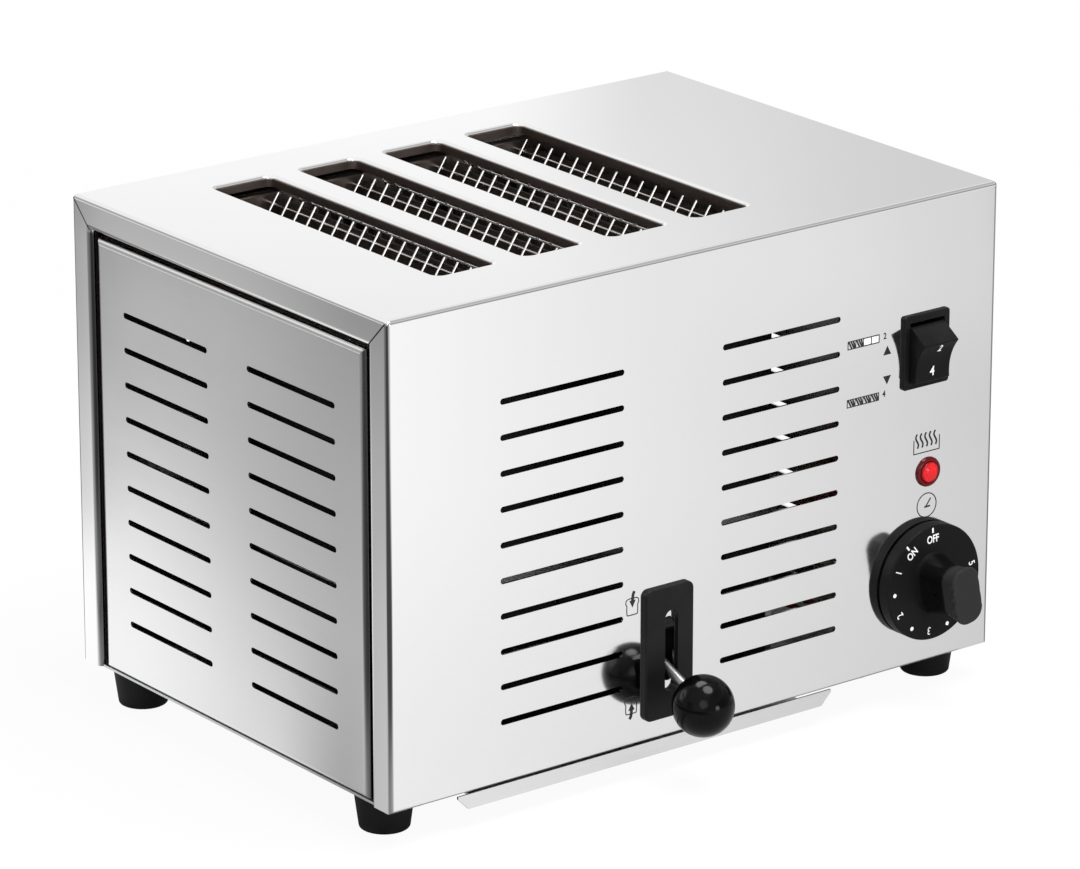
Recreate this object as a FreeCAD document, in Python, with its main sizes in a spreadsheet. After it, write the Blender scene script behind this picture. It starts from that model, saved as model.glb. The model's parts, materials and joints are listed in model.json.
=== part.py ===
import FreeCAD
import Part
import Sketcher

import math
import os
import re

# Commercial four-slot toaster, in millimetres.
# +Z is up, the controls face -Y and the louvred left side is at -X.
# The origin is on the standing surface, under the middle of the whole toaster.

Vector = FreeCAD.Vector
Rotation = FreeCAD.Rotation
Constraint = Sketcher.Constraint
doc = FreeCAD.newDocument("Toaster")

# Driving dimensions
DIMS = {
    # housing
    "width": 304, "depth": 212, "bodyHeight": 198, "footHeight": 15,
    "sheetSteel": 1, "bendRadius": 1.8, "flangeWidth": 12.5, "flangeEdge": 2.3, "flangeReturn": 4.5, "bottomFlange": 10,
    "fitGap": 0.3, "runningFit": 0.05,
    # side panels
    "panelInset": 0.6, "panelGapTop": 2.4, "panelGapSide": 3.2, "panelReturn": 8, "panelBend": 2.6,
    # bread slots in the top
    "slotWidth": 28, "slotLength": 150, "slotPitch": 42, "slotCount": 4, "slotCorner": 3.5,
    "slotFront": 35, "firstSlot": 63.5, "collarDepth": 3.5, "slotRim": 1.6,
    # louvres
    "louvreLength": 60, "louvreTall": 2.5, "louvrePitch": 14.5, "louvreRows": 10,
    "louvreBottom": 25.3, "louvreColumn": 53, "louvreStep": 109, "sideLouvreMiddle": 13.5,
    "sideLouvreLength": 58,
    # feet
    "footTopRadius": 12, "footBottomRadius": 10, "footInsetX": 13.7, "footInsetY": 22.8,
    "footEdge": 1.2, "footRecess": 8, "footRecessRadius": 5,
    "footScrewRadius": 2, "footHeadRadius": 4.2, "footHead": 3, "nutTall": 3.2, "nutRadius": 4,
    # base screws
    "screwRadius": 1.5, "screwHeadRadius": 2.8, "screwHead": 1.6, "screwLength": 5,
    "frontScrewInset": 7, "sideScrewInset": 6.5, "sideScrewSpread": 40,
    # crumb tray and runners
    "traySheet": 0.8, "trayLeft": 32.3, "trayWidth": 187.9, "lipTall": 6.1, "lipDrop": 6.6,
    "lipCorner": 5, "trayFloor": 5, "trayWallTop": 0.6, "trayBack": 20, "trayWallInset": 12,
    "trayNotch": 11,
    "runnerSheet": 1, "runnerFoot": 5, "runnerWing": 5, "runnerFront": 18,
    # toasting chamber
    "chamberSheet": 0.8, "chamberFront": 32.5, "chamberRear": 187.5, "chamberSide": 2.5,
    "wallTop": 190, "wallFold": 3, "wallBend": 1,
    "cardThick": 1, "cardBottom": 30, "cardTop": 186, "tabTall": 10, "tabLow": 5, "tabHigh": 141,
    "ribbonThick": 0.3, "ribbonWide": 2.5, "ribbonPitch": 9, "ribbonTurns": 12, "ribbonStart": 24,
    "cardWaist": 6, "waistMargin": 3,
    # bread cages
    "wireRadius": 0.6, "wireCount": 18, "cageHalf": 12.2, "cageBottom": 25,
    "cageTop": 190.5, "guardFlare": 5, "guardFlareTall": 7.5, "cageWireInset": 4, "wireOverlap": 1.5,
    "bandLow": 45, "bandMiddle": 115, "bandHigh": 186,
    # lift
    "restTall": 6, "restThick": 1.5, "restWireRadius": 1, "restWireHalf": 9, "restWireCount": 8,
    "restWirePitch": 19, "restTop": 77, "liftTravel": 39.8,
    "frameSheet": 1.5, "frameTall": 10, "frameFront": 29.5, "frameRear": 189,
    "frameSideGap": 1.2, "earDrop": 10, "earHalf": 8,
    "guideRadius": 2.5, "sleeveRadius": 4.5, "sleeveTall": 20, "guideBehind": 146,
    "guideTop": 100, "guideBracket": 2,
    # lever
    "leverX": 135.6, "shaftRadius": 3, "shaftBehind": 21.4, "shaftTall": 37.6,
    "armLength": 52, "armSheet": 2, "armHalf": 5, "armEye": 6, "armGap": 1, "pinRadius": 2, "pinSlotGap": 0.35,
    "leverSwing": 45, "hubRadius": 6.5, "hubWide": 10, "leverRodRadius": 2, "leverReach": 47.2,
    "ballRadius": 12.5, "ballSocket": 8, "bearingSheet": 3, "bearingWide": 12, "bearingTop": 7,
    "bearingInset": 12, "bearingFoot": 8,
    # lever escutcheon
    "plateLeft": 122.9, "plateWide": 24, "plateBottom": 8.6, "plateTall": 55, "plateThick": 2.2,
    "plateCorner": 3, "plateEdge": 0.9, "plateSlotWide": 6.4, "plateSlotBottom": 19.3,
    "plateSlotTall": 34.4, "metalSlotWide": 6, "metalSlotBottom": 23.5, "metalSlotTall": 27,
    # rocker switch
    "rockerX": 37.5, "rockerTall": 134.8, "bezelWide": 24, "bezelHigh": 31, "bezelThick": 1.5,
    "bezelCorner": 1.3, "bezelEdge": 0.6, "rockerWide": 17.6, "rockerWindow": 12.5,
    "rockerCavity": 12.8, "rockerBody": 13.5, "rockerBodyDeep": 24, "rockerCavityDeep": 11,
    "rockerPivot": 4, "rockerThrow": 34, "ridgeReach": 12.5, "ridgeHalf": 8.9,
    "rockerDip": 2, "rockerShoulder": 3, "rockerHalf": 11.7, "rockerHeel": 1.6,
    "rockerKeel": 3.5, "rockerPinRadius": 1, "rockerRidgeEdge": 0.5,
    # lamp
    "lampX": 34.4, "lampTall": 82, "lampCollarRadius": 6.3, "lampCollar": 1.2, "lampRadius": 4,
    "lampDome": 2.6, "lampBodyRadius": 5, "lampBodyDeep": 24,
    # timer
    "timerX": 35.2, "timerTall": 36.3, "skirtRadius": 24.5, "skirtThick": 5.4, "skirtGap": 0.8,
    "skirtEdge": 0.7, "skirtHollow": 2.2, "skirtHollowRadius": 21, "knobReach": 27,
    "gripWide": 14.5, "gripTall": 25, "gripCorner": 6.2, "neckWide": 13, "neckTall": 22,
    "neckReach": 10, "flareWide": 19, "flareTall": 27, "flareCorner": 9.3, "gripTilt": 11, "gripEdge": 0.8,
    "scallopRadius": 3.2, "scallopPitch": 5.6, "scallopDepth": 0.7, "scallopLength": 13,
    "spindleRadius": 3, "bushRadius": 5, "bushReach": 3.4, "timerNut": 1.6, "timerNutRadius": 7.5,
    "timerWide": 44, "timerHigh": 44, "timerDeep": 38, "timerBack": 1, "spindleBore": 30, "spindleGap": 1,
    # electrical parts behind the panel
    "terminalX": 42, "terminalBehind": 165, "terminalWide": 30, "terminalDeep": 18,
    "terminalHigh": 16, "terminalHole": 2, "terminalPitch": 9,
    "cutoutRadius": 8, "cutoutThick": 6, "cutoutBehind": 110, "cutoutTall": 125,
    "glandX": 32, "glandTall": 35, "glandRadius": 8, "glandFlange": 11, "glandFlangeThick": 5,
    "glandReach": 14, "glandBore": 4, "glandNutRadius": 12, "glandNut": 4, "glandEnd": 1,
    "leadRadius": 1.25, "leadBend": 8,
    # fixings of the controls
    "louvreDepth": 3,
}

# Places worked out from the driving dimensions
PLACES = {
    "left": "-width / 2",
    "right": "width / 2",
    "ballForward": "leverReach * cos(leverSwing / 2 * 1 deg) - shaftBehind + ballRadius",
    "front": "-(depth + glandReach + ballForward) / 2 + ballForward",
    "back": "front + depth",
    "floor": "footHeight",
    "deck": "footHeight + sheetSteel",
    "top": "footHeight + bodyHeight",
    "ceiling": "top - sheetSteel",
    "firstSlotX": "left + firstSlot",
    "slotFrontY": "front + slotFront",
    "slotRearY": "slotFrontY + slotLength",
    "chamberFrontY": "front + chamberFront",
    "chamberRearY": "front + chamberRear",
    "cardFirstX": "firstSlotX - slotPitch / 2",
    "cardLastX": "cardFirstX + slotPitch * slotCount",
    "chamberLeftX": "cardFirstX - chamberSide",
    "chamberRightX": "cardLastX + chamberSide",
    "wallTopZ": "floor + wallTop",
    "restTopZ": "floor + restTop",
    "frameTopZ": "restTopZ - restTall",
    "frameLeftX": "chamberLeftX - chamberSheet - frameSideGap",
    "frameRightX": "chamberRightX + chamberSheet + frameSideGap",
    "frameFrontY": "front + frameFront",
    "frameRearY": "front + frameRear",
    "shaftY": "front + shaftBehind",
    "shaftZ": "floor + shaftTall",
    "armAngle": "leverSwing / 2",
    "pinY": "shaftY + armLength * cos(armAngle * 1 deg)",
    "pinZ": "shaftZ + armLength * sin(armAngle * 1 deg)",
    "armLeftX": "frameLeftX - frameSheet - armGap",
    "armRightX": "frameRightX + frameSheet + armGap",
    "leverCentreX": "left + leverX",
    "ballY": "shaftY - leverReach * cos(armAngle * 1 deg)",
    "ballZ": "shaftZ - leverReach * sin(armAngle * 1 deg)",
    "plateLeftX": "left + plateLeft",
    "plateBottomZ": "floor + plateBottom",
    "rockerCentreX": "right - rockerX",
    "rockerCentreZ": "floor + rockerTall",
    "lampCentreX": "right - lampX",
    "lampCentreZ": "floor + lampTall",
    "timerCentreX": "right - timerX",
    "timerCentreZ": "floor + timerTall",
    "trayLeftX": "left + trayLeft",
    "trayRightX": "trayLeftX + trayWidth",
    "trayFloorZ": "floor - trayFloor",
    "runnerLeftX": "trayLeftX + 2 * traySheet",
    "runnerRightX": "trayRightX - 2 * traySheet",
    "glandCentreX": "right - glandX",
    "glandCentreZ": "floor + glandTall",
    "guideY": "front + guideBehind",
}

SHEETS = {"Dims": DIMS, "Places": PLACES}
OWNER = {name: sheet for sheet, names in SHEETS.items() for name in names}


def link(formula):
    """Turn the plain names of a formula into references to the two sheets."""
    return re.sub(r"[A-Za-z]\w*", lambda word: owned(word.group(0)), str(formula))


def owned(name):
    return OWNER[name] + "." + name if name in OWNER else name


dims = doc.addObject("Spreadsheet::Sheet", "Dims")
for row, (name, size) in enumerate(DIMS.items(), start=1):
    dims.set(f"A{row}", str(size))
    dims.setAlias(f"A{row}", name)

places = doc.addObject("Spreadsheet::Sheet", "Places")
for row, (name, formula) in enumerate(PLACES.items(), start=1):
    places.set(f"A{row}", "=" + link(formula))
    places.setAlias(f"A{row}", name)
working = doc.addObject("Spreadsheet::Sheet", "Working")
doc.recompute()


def number(formula):
    """The value of a formula, worked out in a cell of its own sheet."""
    working.set("A1", "=" + link(formula))
    working.recompute()
    return float(working.get("A1"))


def bind(thing, **formulas):
    for name, formula in formulas.items():
        thing.setExpression(name, link(formula))


def move(thing, x, y, z):
    for axis, formula in zip("xyz", (x, y, z)):
        thing.setExpression(f"Placement.Base.{axis}", link(formula))


# Part primitives

TURNS = {
    "X": Rotation(Vector(0, 1, 0), 90),
    "Y": Rotation(Vector(1, 0, 0), -90),
    "Z": Rotation(),
}
finished = []


def keep(thing, label):
    """Name a finished piece, so that it is written out."""
    thing.Label = label
    finished.append(thing)
    return thing


def box(low, high):
    """A block between two corners."""
    made = doc.addObject("Part::Box", "block")
    sizes = [f"({b}) - ({a})" for a, b in zip(low, high)]
    bind(made, Length=sizes[0], Width=sizes[1], Height=sizes[2])
    move(made, *low)
    return made


def cylinder(start, axis, radius, length):
    made = doc.addObject("Part::Cylinder", "round")
    made.Placement.Rotation = TURNS[axis]
    bind(made, Radius=radius, Height=length)
    move(made, *start)
    return made


def sphere(centre, radius):
    made = doc.addObject("Part::Sphere", "ball")
    bind(made, Radius=radius)
    move(made, *centre)
    return made


def hexagon(start, axis, radius, length):
    made = doc.addObject("Part::Prism", "nut")
    made.Polygon = 6
    made.Placement.Rotation = TURNS[axis]
    bind(made, Circumradius=radius, Height=length)
    move(made, *start)
    return made


def fuse(*things):
    made = doc.addObject("Part::MultiFuse", "joined")
    made.Shapes = list(things)
    made.Refine = True
    return made


def cut(base, *tools):
    made = doc.addObject("Part::Cut", "cut")
    made.Base = base
    made.Tool = tools[0] if len(tools) == 1 else fuse(*tools)
    made.Refine = True
    return made


def group(*things):
    made = doc.addObject("Part::Compound", "set")
    made.Links = list(things)
    return made


# Part Design bodies

def body(label):
    made = doc.addObject("PartDesign::Body", label)
    return keep(made, label)


def sketch(owner, role, along):
    """A sketch parallel to an origin plane of its body, moved along the plane's normal."""
    made = owner.newObject("Sketcher::SketchObject", "outline")
    plane = [item for item in owner.Origin.OriginFeatures if item.Role == role][0]
    made.AttachmentSupport = [(plane, "")]
    made.MapMode = "FlatFace"
    made.setExpression("AttachmentOffset.Base.z", link(along))
    return made


def fix(profile, kind, item, point, formula):
    at = profile.addConstraint(Constraint(kind, item, point, number(formula)))
    profile.setExpression(f"Constraints[{at}]", link(formula))


def polygon(profile, corners):
    first = profile.GeometryCount
    spots = [Vector(number(x), number(y), 0) for x, y in corners]
    count = len(corners)
    for i in range(count):
        profile.addGeometry(Part.LineSegment(spots[i], spots[(i + 1) % count]))
    for i in range(count):
        after = first + (i + 1) % count
        profile.addConstraint(Constraint("Coincident", first + i, 2, after, 1))
    for i, (x, y) in enumerate(corners):
        fix(profile, "DistanceX", first + i, 1, x)
        fix(profile, "DistanceY", first + i, 1, y)


def rectangle(profile, low, high):
    corners = [low, (high[0], low[1]), high, (low[0], high[1])]
    polygon(profile, corners)


def circle(profile, x, y, radius):
    item = profile.GeometryCount
    centre = Vector(number(x), number(y), 0)
    profile.addGeometry(Part.Circle(centre, Vector(0, 0, 1), number(radius)))
    fix(profile, "DistanceX", item, 3, x)
    fix(profile, "DistanceY", item, 3, y)
    at = profile.addConstraint(Constraint("Radius", item, number(radius)))
    profile.setExpression(f"Constraints[{at}]", link(radius))


def rounded(profile, low, high, radius):
    """A rectangle whose corners are arcs of one radius."""
    first = profile.GeometryCount
    r = number(radius)
    x0, y0 = number(low[0]), number(low[1])
    x1, y1 = number(high[0]), number(high[1])
    up = Vector(0, 0, 1)
    corners = [(x1 - r, y0 + r, -90), (x1 - r, y1 - r, 0), (x0 + r, y1 - r, 90), (x0 + r, y0 + r, 180)]
    for x, y, start in corners:
        round_corner = Part.Circle(Vector(x, y, 0), up, r)
        begin = math.radians(start)
        profile.addGeometry(Part.ArcOfCircle(round_corner, begin, begin + math.pi / 2))
    ends = [(x0 + r, y0, x1 - r, y0), (x1, y0 + r, x1, y1 - r)]
    ends += [(x1 - r, y1, x0 + r, y1), (x0, y1 - r, x0, y0 + r)]
    for a, b, c, d in ends:
        profile.addGeometry(Part.LineSegment(Vector(a, b, 0), Vector(c, d, 0)))
    for i in range(4):
        arc = first + i
        line = first + 4 + i
        after = first + 4 + (i + 1) % 4
        profile.addConstraint(Constraint("Tangent", line, 2, arc, 1))
        profile.addConstraint(Constraint("Tangent", arc, 2, after, 1))
    for i in range(1, 4):
        profile.addConstraint(Constraint("Equal", first, first + i))
    profile.addConstraint(Constraint("Horizontal", first + 4))
    profile.addConstraint(Constraint("Vertical", first + 5))
    at = profile.addConstraint(Constraint("Radius", first, r))
    profile.setExpression(f"Constraints[{at}]", link(radius))
    fix(profile, "DistanceX", first + 3, 3, f"({low[0]}) + {radius}")
    fix(profile, "DistanceY", first + 3, 3, f"({low[1]}) + {radius}")
    fix(profile, "DistanceX", first + 1, 3, f"({high[0]}) - ({radius})")
    fix(profile, "DistanceY", first + 1, 3, f"({high[1]}) - ({radius})")


def long_hole(profile, low, high, along="x"):
    """A slot with fully round ends, along the sketch's x or y."""
    first = profile.GeometryCount
    across = 1 if along == "x" else 0
    radius = f"((({high[across]}) - ({low[across]})) / 2)"
    r = number(radius)
    middle = f"({low[across]}) + {radius}"
    start = f"({low[1 - across]}) + {radius}"
    end = f"({high[1 - across]}) - {radius}"
    a, b, m = number(start), number(end), number(middle)
    up = Vector(0, 0, 1)
    if along == "x":
        centres = [(a, m), (b, m)]
        lines = [(a, m - r, b, m - r), (b, m + r, a, m + r)]
        turns = [math.pi / 2, -math.pi / 2]
    else:
        centres = [(m, a), (m, b)]
        lines = [(m + r, a, m + r, b), (m - r, b, m - r, a)]
        turns = [math.pi, 0]
    for (x, y), turn in zip(centres, turns):
        profile.addGeometry(Part.ArcOfCircle(Part.Circle(Vector(x, y, 0), up, r), turn, turn + math.pi))
    for x0, y0, x1, y1 in lines:
        profile.addGeometry(Part.LineSegment(Vector(x0, y0, 0), Vector(x1, y1, 0)))
    joints = [(0, 2, 2, 1), (2, 2, 1, 1), (1, 2, 3, 1), (3, 2, 0, 1)]
    for one, one_end, two, two_end in joints:
        profile.addConstraint(Constraint("Tangent", first + one, one_end, first + two, two_end))
    profile.addConstraint(Constraint("Equal", first, first + 1))
    at = profile.addConstraint(Constraint("Radius", first, r))
    profile.setExpression(f"Constraints[{at}]", link(radius))
    for item, end_place in ((0, start), (1, end)):
        where = (end_place, middle) if along == "x" else (middle, end_place)
        fix(profile, "DistanceX", first + item, 3, where[0])
        fix(profile, "DistanceY", first + item, 3, where[1])


def pad(owner, profile, length, backward=False):
    made = owner.newObject("PartDesign::Pad", "pad")
    made.Profile = profile
    made.Reversed = backward
    bind(made, Length=length)
    return made


def pocket(owner, profile, length, backward=False):
    made = owner.newObject("PartDesign::Pocket", "pocket")
    made.Profile = profile
    made.Reversed = backward
    bind(made, Length=length)
    return made


def rows(owner, features, profile, axis, pitch, count):
    """Repeat features along an axis of a sketch."""
    made = owner.newObject("PartDesign::LinearPattern", "rows")
    made.Originals = features
    made.Direction = (profile, [axis])
    made.Mode = "Spacing"
    bind(made, Offset=pitch, Occurrences=count)
    owner.Tip = made
    return made


def round_edges(owner, chosen, radius, kind="PartDesign::Fillet"):
    """Round the edges of the last feature that a test picks."""
    doc.recompute()
    base = owner.Tip
    names = [f"Edge{i}" for i, edge in enumerate(base.Shape.Edges, start=1) if chosen(edge)]
    made = owner.newObject(kind, "edges")
    made.Base = (base, names)
    if kind == "PartDesign::Fillet":
        bind(made, Radius=radius)
    else:
        bind(made, Size=radius)
    owner.Tip = made
    return made


def near(a, b):
    return abs(a - b) < 0.01


def runs_along(edge, axis):
    """Whether an edge is straight and parallel to an axis."""
    if edge.Curve.TypeId != "Part::GeomLine":
        return False
    direction = edge.Curve.Direction
    return abs(abs(getattr(direction, axis)) - 1) < 0.001


def lies_at(edge, axis, place):
    low = getattr(edge.BoundBox, axis.upper() + "Min")
    high = getattr(edge.BoundBox, axis.upper() + "Max")
    return near(low, place) and near(high, place)


# Housing

def louvre_column(owner, role, along, low, high, length):
    """One column of louvres, starting from its lowest slot."""
    profile = sketch(owner, role, along)
    lower = "floor + louvreBottom - louvreTall / 2"
    long_hole(profile, (low, lower), (high, f"{lower} + louvreTall"))
    return pocket(owner, profile, length[0], length[1]), profile


def outer_housing():
    """Front, top and back in one wrap, with flanges turned in at the sides and the bottom."""
    made = body("outer_housing")
    outline = sketch(made, "XY_Plane", "floor")
    rectangle(outline, ("left", "front"), ("right", "back"))
    pad(made, outline, "bodyHeight")

    top = number("top")
    bottom = number("floor")
    sides = (number("left"), number("right"))
    ends = (number("front"), number("back"))

    def bend(edge):
        at_end = any(lies_at(edge, "y", y) for y in ends)
        at_rim = lies_at(edge, "z", top) or lies_at(edge, "z", bottom) and at_end
        at_corner = any(lies_at(edge, "x", x) for x in sides) and at_end
        return at_rim or at_corner
    round_edges(made, bend, "bendRadius")

    inset = "sheetSteel"
    inside = sketch(made, "XY_Plane", "ceiling")
    rectangle(inside, (f"left + {inset}", f"front + {inset}"), (f"right - {inset}", f"back - {inset}"))
    pocket(made, inside, "ceiling - deck - sheetSteel")
    between = sketch(made, "XY_Plane", "deck + 2 * sheetSteel")
    low = (f"left + {inset}", "front + bottomFlange")
    rectangle(between, low, (f"right - {inset}", "back - bottomFlange"))
    pocket(made, between, "4 * sheetSteel")
    below = sketch(made, "XY_Plane", "deck")
    rectangle(below, (f"left + {inset}", f"front + {inset}"), (f"right - {inset}", f"back - {inset}"))
    pocket(made, below, "2 * sheetSteel")

    low = ("front + flangeWidth - sheetSteel", "floor")
    high = ("back - flangeWidth + sheetSteel", "top - flangeWidth + sheetSteel")
    for side, backward in (("left", False), ("right", True)):
        turned = sketch(made, "YZ_Plane", side)
        rectangle(turned, low, high)
        pad(made, turned, "flangeReturn", backward=backward)
    opening = sketch(made, "YZ_Plane", "right + sheetSteel")
    low = ("front + flangeWidth", "floor - sheetSteel")
    rectangle(opening, low, ("back - flangeWidth", "top - flangeWidth"))
    pocket(made, opening, "width + 2 * sheetSteel")
    flange_ends = (number("front + flangeWidth"), number("back - flangeWidth"))
    flange_top = number("top - flangeWidth")

    def flange_edge(edge):
        upright = any(lies_at(edge, "y", y) for y in flange_ends)
        return any(lies_at(edge, "x", x) for x in sides) and (upright or lies_at(edge, "z", flange_top))
    round_edges(made, flange_edge, "flangeEdge")

    slot_low = ("firstSlotX - slotWidth / 2", "slotFrontY")
    slot_high = ("firstSlotX + slotWidth / 2", "slotRearY")
    collar = sketch(made, "XY_Plane", "ceiling")
    low = [f"{place} - sheetSteel" for place in slot_low]
    high = [f"{place} + sheetSteel" for place in slot_high]
    rounded(collar, low, high, "(slotCorner + sheetSteel)")
    sleeve = pad(made, collar, "collarDepth", backward=True)
    hole = sketch(made, "XY_Plane", "top + sheetSteel")
    rounded(hole, slot_low, slot_high, "slotCorner")
    mouth = pocket(made, hole, "collarDepth + 3 * sheetSteel")
    rows(made, [sleeve, mouth], hole, "H_Axis", "slotPitch", "slotCount")

    slot_fronts = number("slotFrontY")
    slot_rears = number("slotRearY")

    def rim(edge):
        bounds = edge.BoundBox
        inside_y = bounds.YMin > slot_fronts - 0.1 and bounds.YMax < slot_rears + 0.1
        return lies_at(edge, "z", top) and inside_y
    round_edges(made, rim, "slotRim")

    through = ("louvreDepth * sheetSteel", False)
    column = [("left + louvreColumn", "left + louvreColumn + louvreLength")]
    column.append(tuple(f"{place} + louvreStep" for place in column[0]))
    for along in ("-front", "-(back - 2 * sheetSteel)"):
        pockets = []
        for low, high in column:
            feature, profile = louvre_column(made, "XZ_Plane", along, low, high, through)
            pockets.append(feature)
        rows(made, pockets, profile, "V_Axis", "louvrePitch", "louvreRows")

    controls = sketch(made, "XZ_Plane", "-front")
    low = ("rockerCentreX - bezelWide / 2 + bezelCorner - fitGap", "rockerCentreZ - rockerBody - fitGap")
    high = ("rockerCentreX + bezelWide / 2 - bezelCorner + fitGap", "rockerCentreZ + rockerBody + fitGap")
    rectangle(controls, low, high)
    circle(controls, "lampCentreX", "lampCentreZ", "(lampBodyRadius + fitGap)")
    circle(controls, "timerCentreX", "timerCentreZ", "(bushRadius + fitGap)")
    low = ("leverCentreX - metalSlotWide / 2", "floor + metalSlotBottom")
    high = ("leverCentreX + metalSlotWide / 2", "floor + metalSlotBottom + metalSlotTall")
    long_hole(controls, low, high, along="y")
    pocket(made, controls, "3 * sheetSteel")

    gland = sketch(made, "XZ_Plane", "-(back - 2 * sheetSteel)")
    circle(gland, "glandCentreX", "glandCentreZ", "(glandRadius + fitGap)")
    pocket(made, gland, "3 * sheetSteel")

    screws = sketch(made, "XY_Plane", "deck + 2 * sheetSteel")
    for x, y in end_screws():
        circle(screws, x, y, "(screwRadius + runningFit)")
    pocket(made, screws, "3 * sheetSteel")


def end_screws():
    """Screws that hold the base to the housing's front and rear flanges."""
    spots = []
    for y in ("front + frontScrewInset", "back - frontScrewInset"):
        spots.append(("left + frontScrewInset + bottomFlange", y))
        spots.append(("trayRightX + 2 * bottomFlange", y))
        spots.append(("right - frontScrewInset - bottomFlange", y))
    return spots


def side_screws(side):
    """Screws that hold one side panel to the base."""
    x = "left + panelInset + sideScrewInset" if side < 0 else "right - panelInset - sideScrewInset"
    middle = "(front + back) / 2"
    return [(x, f"{middle} - sideScrewSpread"), (x, f"{middle} + sideScrewSpread")]


def side_panel(label, side):
    """A louvred pan behind the housing's flanges."""
    made = body(label)
    outer = "left + panelInset" if side < 0 else "right - panelInset"
    inward = "+" if side < 0 else "-"
    low = ("front + flangeWidth + panelGapSide", "deck")
    high = ("back - flangeWidth - panelGapSide", "top - flangeWidth - panelGapTop")
    outline = sketch(made, "YZ_Plane", outer)
    rectangle(outline, low, high)
    pad(made, outline, "panelReturn", backward=side > 0)
    face = number(outer)
    round_edges(made, lambda edge: lies_at(edge, "x", face), "panelBend")
    hollow = sketch(made, "YZ_Plane", f"{outer} {inward} panelReturn")
    inner_low = [f"{place} + sheetSteel" for place in low]
    inner_high = [f"{place} - sheetSteel" for place in high]
    rectangle(hollow, inner_low, inner_high)
    pocket(made, hollow, "panelReturn - sheetSteel", backward=side > 0)
    hidden_face = number(f"{outer} {inward} sheetSteel")
    round_edges(made, lambda edge: lies_at(edge, "x", hidden_face), "panelBend - sheetSteel")
    middle = "(front + back) / 2"
    columns = [(f"{middle} - sideLouvreMiddle - sideLouvreLength", f"{middle} - sideLouvreMiddle"),
               (f"{middle} + sideLouvreMiddle", f"{middle} + sideLouvreMiddle + sideLouvreLength")]
    pockets = []
    for start, end in columns:
        plane = f"{outer} {inward} 2 * sheetSteel"
        through = ("louvreDepth * sheetSteel", side > 0)
        feature, profile = louvre_column(made, "YZ_Plane", plane, start, end, through)
        pockets.append(feature)
    rows(made, pockets, profile, "V_Axis", "louvrePitch", "louvreRows")
    screws = sketch(made, "XY_Plane", "deck + 2 * sheetSteel")
    for x, y in side_screws(side):
        circle(screws, x, y, "(screwRadius + runningFit)")
    pocket(made, screws, "3 * sheetSteel")


def base_plate():
    """The floor, open under the toasting chamber."""
    made = body("base_plate")
    edge = "sheetSteel + fitGap"
    outline = sketch(made, "XY_Plane", "floor")
    rectangle(outline, (f"left + {edge}", f"front + {edge}"), (f"right - ({edge})", f"back - ({edge})"))
    pad(made, outline, "sheetSteel")
    holes = sketch(made, "XY_Plane", "deck + sheetSteel")
    low = ("chamberLeftX + sheetSteel", "chamberFrontY + chamberSheet + sheetSteel")
    high = ("chamberRightX - sheetSteel", "chamberRearY - sheetSteel")
    rounded(holes, low, high, "slotCorner")
    for y in ("front + flangeWidth - sheetSteel", "back - flangeWidth"):
        low_y, high_y = f"{y} - fitGap", f"{y} + sheetSteel + fitGap"
        rectangle(holes, ("left", low_y), ("left + flangeReturn + fitGap", high_y))
        rectangle(holes, ("right - flangeReturn - fitGap", low_y), ("right", high_y))
    for x, y in foot_places().values():
        circle(holes, x, y, "(footScrewRadius + fitGap)")
    for x, y in end_screws() + side_screws(-1) + side_screws(1):
        circle(holes, x, y, "(screwRadius + runningFit)")
    pocket(made, holes, "3 * sheetSteel")


def foot_places():
    places_by_name = {}
    for end, y in (("front", "front + footInsetY"), ("rear", "back - footInsetY")):
        for side, x in (("left", "left + footInsetX"), ("right", "right - footInsetX")):
            places_by_name[f"foot_{end}_{side}"] = (x, y)
    return places_by_name


def feet():
    """Rubber feet, their screws and nuts."""
    screws = []
    nuts = []
    for label, (x, y) in foot_places().items():
        cone = doc.addObject("Part::Cone", "cone")
        bind(cone, Radius1="footBottomRadius", Radius2="footTopRadius", Height="footHeight")
        move(cone, x, y, "0")
        doc.recompute()
        soft = doc.addObject("Part::Fillet", "soft")
        soft.Base = cone
        ring = [i for i, edge in enumerate(cone.Shape.Edges, start=1) if lies_at(edge, "z", 0)][0]
        radius = number("footEdge")
        soft.Edges = [(ring, radius, radius)]
        recess = cylinder((x, y, "0"), "Z", "footRecessRadius", "footRecess")
        bore = cylinder((x, y, "0"), "Z", "footScrewRadius + runningFit", "footHeight")
        keep(cut(soft, recess, bore), label)
        head = cylinder((x, y, "footRecess - footHead"), "Z", "footHeadRadius", "footHead")
        length = "deck + nutTall + sheetSteel - footRecess"
        shank = cylinder((x, y, "footRecess"), "Z", "footScrewRadius", length)
        screws.append(fuse(head, shank))
        nut = hexagon((x, y, "deck"), "Z", "nutRadius", "nutTall")
        nuts.append(cut(nut, cylinder((x, y, "deck"), "Z", "footScrewRadius + runningFit", "nutTall")))
    keep(group(*screws), "foot_screws")
    keep(group(*nuts), "foot_nuts")


def base_screws():
    made = []
    for x, y in end_screws() + side_screws(-1) + side_screws(1):
        head = cylinder((x, y, "floor - screwHead"), "Z", "screwHeadRadius", "screwHead")
        shank = cylinder((x, y, "floor"), "Z", "screwRadius", "screwLength")
        made.append(fuse(head, shank))
    keep(group(*made), "base_screws")


# Crumb tray

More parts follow.
